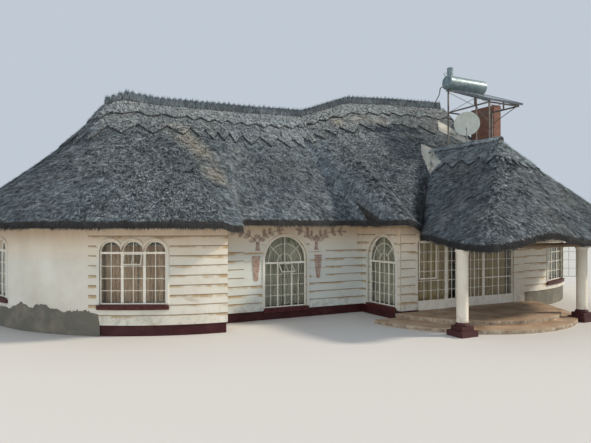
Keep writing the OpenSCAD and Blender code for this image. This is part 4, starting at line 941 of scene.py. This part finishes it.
for x in relief["drops"]:
    for k in range(relief["dropRows"]):
        z = 1.3 + 0.072 * k
        half = 0.065 + 0.07 * (k / (relief["dropRows"] - 1)) ** 0.8
        block(group, face, x, (z, z + 0.058), half, half, 0.022)
    block(group, face, x, (1.24, 1.29), 0.05, 0.062, 0.018)
group.make("wall_relief", "relief")

# Rough cement over the left round wall's foot; its top is a list of angles in degrees and heights
patch = {
    "inner": 6.482, "outer": 6.494, "foot": 0.002, "bevel": 0.012, "step": 0.25, "lowest": 0.05,
    "wave": 0.07, "waveSize": 1.1, "ragged": 0.012,
    "tops": [(194.5, 0.05), (196, 0.4), (202.9, 0.59), (207.3, 0.58), (211.9, 0.79), (215.8, 0.66),
             (219.3, 0.79), (222.5, 0.73), (226, 0.61), (229.6, 0.68), (232.3, 0.69), (234.3, 0.64),
             (235.4, 0.57), (236.2, 0.12)],
}
turns, heights = zip(*patch["tops"])
angles = np.arange(turns[0], turns[-1], patch["step"])
wave = field(np.stack([angles, angles * 0, angles * 0], axis=1), patch["waveSize"], 31) - 0.5
tops = np.interp(angles, turns, heights)
tops += patch["wave"] * wave + patch["ragged"] * rng.normal(size=len(angles))
(cx, cy), foot, inner, outer = leftRing["centre"], patch["foot"], patch["inner"], patch["outer"]
rings = []
for a, top in zip(np.radians(angles), np.maximum(tops, patch["lowest"])):
    edge = ((inner, foot), (outer, foot), (outer, top - patch["bevel"]), (inner, top))
    rings.append([(cx + r * math.cos(a), cy + r * math.sin(a), z) for r, z in edge])
group = Pieces()
group.loft(rings)
group.make("cement_patch", "grey_render")

# Rubble stones in the risers of the porch and its step: centre, radius, foot and top of each riser
stones = {
    "length": 0.17, "vary": (0.6, 1.35), "joint": 0.014, "tilt": 0.012, "proud": (0.004, 0.012),
    "sunk": -0.004, "bevel": (0.02, 0.015), "degrees": (186, 352),
    "risers": (((2.556, -5.76), 3.06, 0.133, 0.235), ((2.316, -5.76), 3.66, 0.012, 0.105)),
}
group = Pieces()
for (cx, cy), radius, foot, head in stones["risers"]:
    a, last = map(math.radians, stones["degrees"])
    dp, dz = stones["bevel"][0] / radius, stones["bevel"][1]
    inward = ((dp, dz), (-dp, dz), (-dp, -dz), (dp, -dz))
    while a < last:
        step = stones["length"] * rng.uniform(*stones["vary"]) / radius
        b = a + step - stones["joint"] / radius
        tilt = rng.uniform(-stones["tilt"], stones["tilt"], 4)
        lift = rng.uniform(*stones["proud"])
        back = [(p, z + t) for (p, z), t in zip(((a, foot), (b, foot), (b, head), (a, head)), tilt)]
        front = [(p + u, z + v) for (p, z), (u, v) in zip(back, inward)]
        group.loft([[(cx + (radius + r) * math.cos(p), cy + (radius + r) * math.sin(p), z) for p, z in loop]
                    for r, loop in ((stones["sunk"], back), (lift, front))])
        a += step
group.make("step_stones", "stone")
print("stage: mouldings, relief, patch and stones")

# Each roof node: number of reeds, how much straw colour they have kept, how light they are,
# number of cut ends, and the heights between which its lower edges lie
reedLook = reedMaterial()
thin = 1.0
coats = {
    "left_thatch": (110000, 0.1, 0.38, 22000, (2.0, 3.35)),
    "front_thatch": (130000, 0.12, 0.38, 16000, (2.0, 3.35)),
    "valley_thatch": (60000, 0.12, 0.38, 3000, (2.0, 3.35)),
    "right_thatch": (50000, 0.15, 0.38, 9000, (2.0, 3.35)),
    "back_thatch": (74000, 0.15, 0.38, 12000, (2.0, 3.35)),
    "wing_thatch": (134000, 0.17, 0.345, 30000, (1.9, 3.2)),
    "left_ridge_cap": (50000, 0.14, 0.47, 16000, (5.0, 8.2)),
    "right_ridge_cap": (45000, 0.18, 0.47, 12000, (5.0, 8.2)),
    "wing_cap": (26000, 0.12, 0.5, 6000, (4.0, 5.7)),
}
reed = {"length": 0.155, "width": 0.027, "vary": (0.6, 1.3), "lift": 0.045, "spread": 0.22, "sunk": 0.012}
# Stretches of reeds painted lighter and warmer as sunlight, and shaded where the roofs meet, painted darker
# as shade: from, to and half width
sunlitStrips = [
    ((-5.98, -1.23, 6.24), (-5.53, -2.25, 5.45), 0.5),
    ((-5.53, -2.25, 5.45), (-5.5, -3.95, 4.4), 0.45),
    ((-4.6, -0.6, 7.3), (3.0, -0.75, 7.3), 0.32),
]
shaded = [
    ((3.02, -3.72, 5.3), (1.75, -4.8, 4.4), 0.16),
    ((1.75, -4.8, 4.4), (0.85, -5.7, 3.65), 0.22),
    ((0.85, -5.7, 3.65), (0.35, -6.3, 3.1), 0.24),
]


# From 0 to 1, how near a place is to a list of lines
def nearTo(lines, place):
    most = np.zeros(len(place))
    for a, b, wide in lines:
        a, b = np.array(a), np.array(b)
        t = np.clip(((place - a) @ (b - a)) / ((b - a) @ (b - a)), 0, 1)
        far = np.linalg.norm(place - a - t[:, None] * (b - a), axis=1)
        most = np.maximum(most, np.clip(1.3 - far / wide, 0, 1))
    return most * np.clip(2.2 * field(place, 0.4, 27) - 0.15, 0, 1)


def reedCoat(name, count, straw, light):
    n = int(count * thin)
    place, facing = topSamples(name, n)
    down = unit(facing * facing[:, 2:] - upward)
    side = np.cross(facing, down)
    clump = field(place, 0.22, 3)
    swing = rng.normal(0, reed["spread"], n) + (clump - 0.5) * 0.5
    down = unit(down * np.cos(swing)[:, None] + side * np.sin(swing)[:, None])
    side = np.cross(facing, down)
    half = down * (reed["length"] * rng.uniform(*reed["vary"], n) * 0.5)[:, None]
    lift = reed["lift"] * rng.uniform(0.1, 1.3, n) * (0.2 + 1.6 * field(place, 0.09, 5))
    root = place - half - facing * reed["sunk"]
    tip = place + half + facing * lift[:, None]
    patches = 0.55 * field(place, 1.6, 8) + 0.45 * field(place, 0.45, 9)
    tufts = 0.7 * field(place, 0.04, 24) + 0.3 * field(place, 0.11, 25)
    tone = light + 0.46 * rng.random(n) ** 1.5 + 0.3 * (patches - 0.45) + 0.85 * (tufts - 0.5)
    # Lighter higher up the roof: painted sunlight
    tone += 0.16 * np.clip((place[:, 2] - 4.6) / 2.5, -0.6, 1.0)
    # Lighter and warmer along the sunlit strips: painted sunlight. Darker where the roofs meet: painted shade
    sunlit = nearTo(sunlitStrips, place)
    tone -= 0.55 * nearTo(shaded, place)
    tone += 0.36 * sunlit + 0.3 * (rng.random(n) < 0.1)
    warm = straw * (0.4 + 1.4 * field(place, 0.8, 12)) + 0.1 * rng.random(n) + 0.45 * sunlit
    width = reed["width"] * rng.uniform(*reed["vary"], n) / math.sqrt(thin)
    reedMesh(name + "_reeds", root, tip, side, width, tone, warm)


for name, (count, straw, light, _, _) in coats.items():
    reedCoat(name, count, straw, light)
print("stage: thatch")

# Cut ends of the reeds along the eaves and the lower edges of the ridge layers; along the ridge layers' edges
# their dark tone is also painted shade beneath the layers
cutEnds = {
    "thatch": {"length": 0.1, "tone": 0.13, "straw": 0.5},
    "cap": {"length": 0.08, "tone": 0.1, "straw": 0.2},
}


def fringe(name, count, low, high, length, tone, straw):
    n = int(count * thin)
    place, facing = steepSamples(name, n, low, high)
    flatOut = unit(facing * np.array([1, 1, 0.0]))
    down = unit(flatOut * rng.uniform(0.35, 1.0, n)[:, None] - upward * rng.uniform(0.5, 1.3, n)[:, None])
    side = unit(np.cross(flatOut, upward) + rng.normal(0, 0.25, (n, 3)))
    reach = length * rng.uniform(0.3, 1.2, n) * (0.5 + field(place, 0.3, 15))
    root = place - flatOut * 0.03 + upward * 0.02
    tip = place + down * reach[:, None]
    shade = tone * (0.4 + 0.8 * rng.random(n) + 0.8 * (field(place, 0.18, 17) - 0.4))
    warm = straw * (0.5 + rng.random(n))
    width = rng.uniform(0.01, 0.022, n) / math.sqrt(thin)
    reedMesh(name + "_fringe", root, tip, side, width, shade, warm)


for name, (_, _, _, count, (low, high)) in coats.items():
    fringe(name, count, low, high, **cutEnds[name.split("_")[-1]])

# Upright reed bundles of the ridge's comb
bundles = {"count": 14000, "z": (7.0, 9.5), "lean": 0.16, "reach": (0.05, 0.17), "straw": 0.16}
for name in ("left_ridge_cap", "right_ridge_cap"):
    n = int(bundles["count"] * thin)
    place, facing = steepSamples(name, n, *bundles["z"], combs=True)
    up = unit(upward + rng.normal(0, bundles["lean"], (n, 3)) * np.array([1, 0.5, 0.3]))
    reach = rng.uniform(*bundles["reach"], n)
    root = place - facing * 0.01 - up * 0.05
    tip = place + up * reach[:, None] + facing * rng.uniform(0, 0.03, n)[:, None]
    side = unit(np.cross(facing, up))
    shade = 0.3 + 0.35 * rng.random(n) ** 1.5 + 0.4 * (field(place, 0.2, 21) - 0.5)
    width = rng.uniform(0.012, 0.024, n) / math.sqrt(thin)
    reedMesh(name + "_bundles", root, tip, side, width, shade, np.full(n, bundles["straw"]))
print("stage: fringes and ridge bundles")

# Pipes of the water heater, and the white vent pipe behind the chimney with its clip: radius and path
pipes = {
    "tank_pipes": ("galvanised", [
        (0.022, smoothLine([(4.88, -2.64, 8.76), (4.62, -2.56, 8.66), (5.22, -1.84, 8.645),
                            (5.965, -0.871, 8.72), (6.56, -0.08, 8.7)])),
        (0.014, smoothLine([(5.05, -2.45, 9.16), (5, -2.35, 9.34), (5.12, -2.3, 9.42), (5.3, -2.32, 9.36)])),
    ]),
    "vent_pipe": ("window_steel", [
        (0.03, [(8.36, -2.3, 6.2), (8.36, -2.3, 7.6), (8.36, -2.3, 8.33)]),
        (0.012, [(8.31, -2.28, 8.0), (8.4, -2.28, 8.0)]),
    ]),
}
for name, (slot, tubes) in pipes.items():
    group = Pieces()
    for radius, path in tubes:
        group.tube(path, radius)
    group.make(name, slot, smooth=True)

# Flashings dressed down over the thatch along the valleys: middle line in plan, half width
flashings = {
    "valley_flashing": {"line": [(3.95, -2.45), (3.45, -3.05), (3.05, -3.75), (2.72, -4.35)], "half": 0.21},
    "dish_flashing": {"line": [(6.05, -0.85), (6.55, -1.25), (6.95, -1.62), (7.25, -2.2)], "half": 0.3},
}
sheetMetal = {"columns": 9, "above": 0.055, "fall": 0.03, "thick": 0.022, "ragged": 0.1, "from": 20}
roofPoints, roofFaces = [], []
for name in ("front_thatch", "valley_thatch", "right_thatch", "wing_thatch", "right_ridge_cap", "wing_cap"):
    keys, corners = surfaceOf(name)[:2]
    roofFaces += [tuple(int(k) + len(roofPoints) for k in tri) for tri in corners]
    roofPoints += [Vector(p) for p in keys]
roofTree = BVHTree.FromPolygons(roofPoints, roofFaces)
for name, strip in flashings.items():
    path = smoothLine([(x, y, 0) for x, y in strip["line"]])
    rings = []
    for k, p in enumerate(path):
        way = (path[min(k + 1, len(path) - 1)] - path[max(k - 1, 0)]).normalized()
        across = Vector((-way.y, way.x, 0))
        top = []
        for f in np.linspace(-1, 1, sheetMetal["columns"]).tolist():
            edge = 1 + sheetMetal["ragged"] * math.sin(2.3 * k + 1.1 * f) if abs(f) == 1 else 1
            q = p + across * strip["half"] * f * edge
            hit = roofTree.ray_cast(Vector((q.x, q.y, sheetMetal["from"])), Vector((0, 0, -1)))[0]
            top.append(Vector((q.x, q.y, hit.z + sheetMetal["above"] - sheetMetal["fall"] * abs(f))))
        rings.append(top + [q - Vector((0, 0, sheetMetal["thick"])) for q in reversed(top)])
    group = Pieces()
    group.loft(rings)
    group.make(name, "grey_render", looks["flashing"])
print("stage: roof fittings")

size = {"cad": [list(v) for v in cadBox], "visual": [list(v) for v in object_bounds()]}
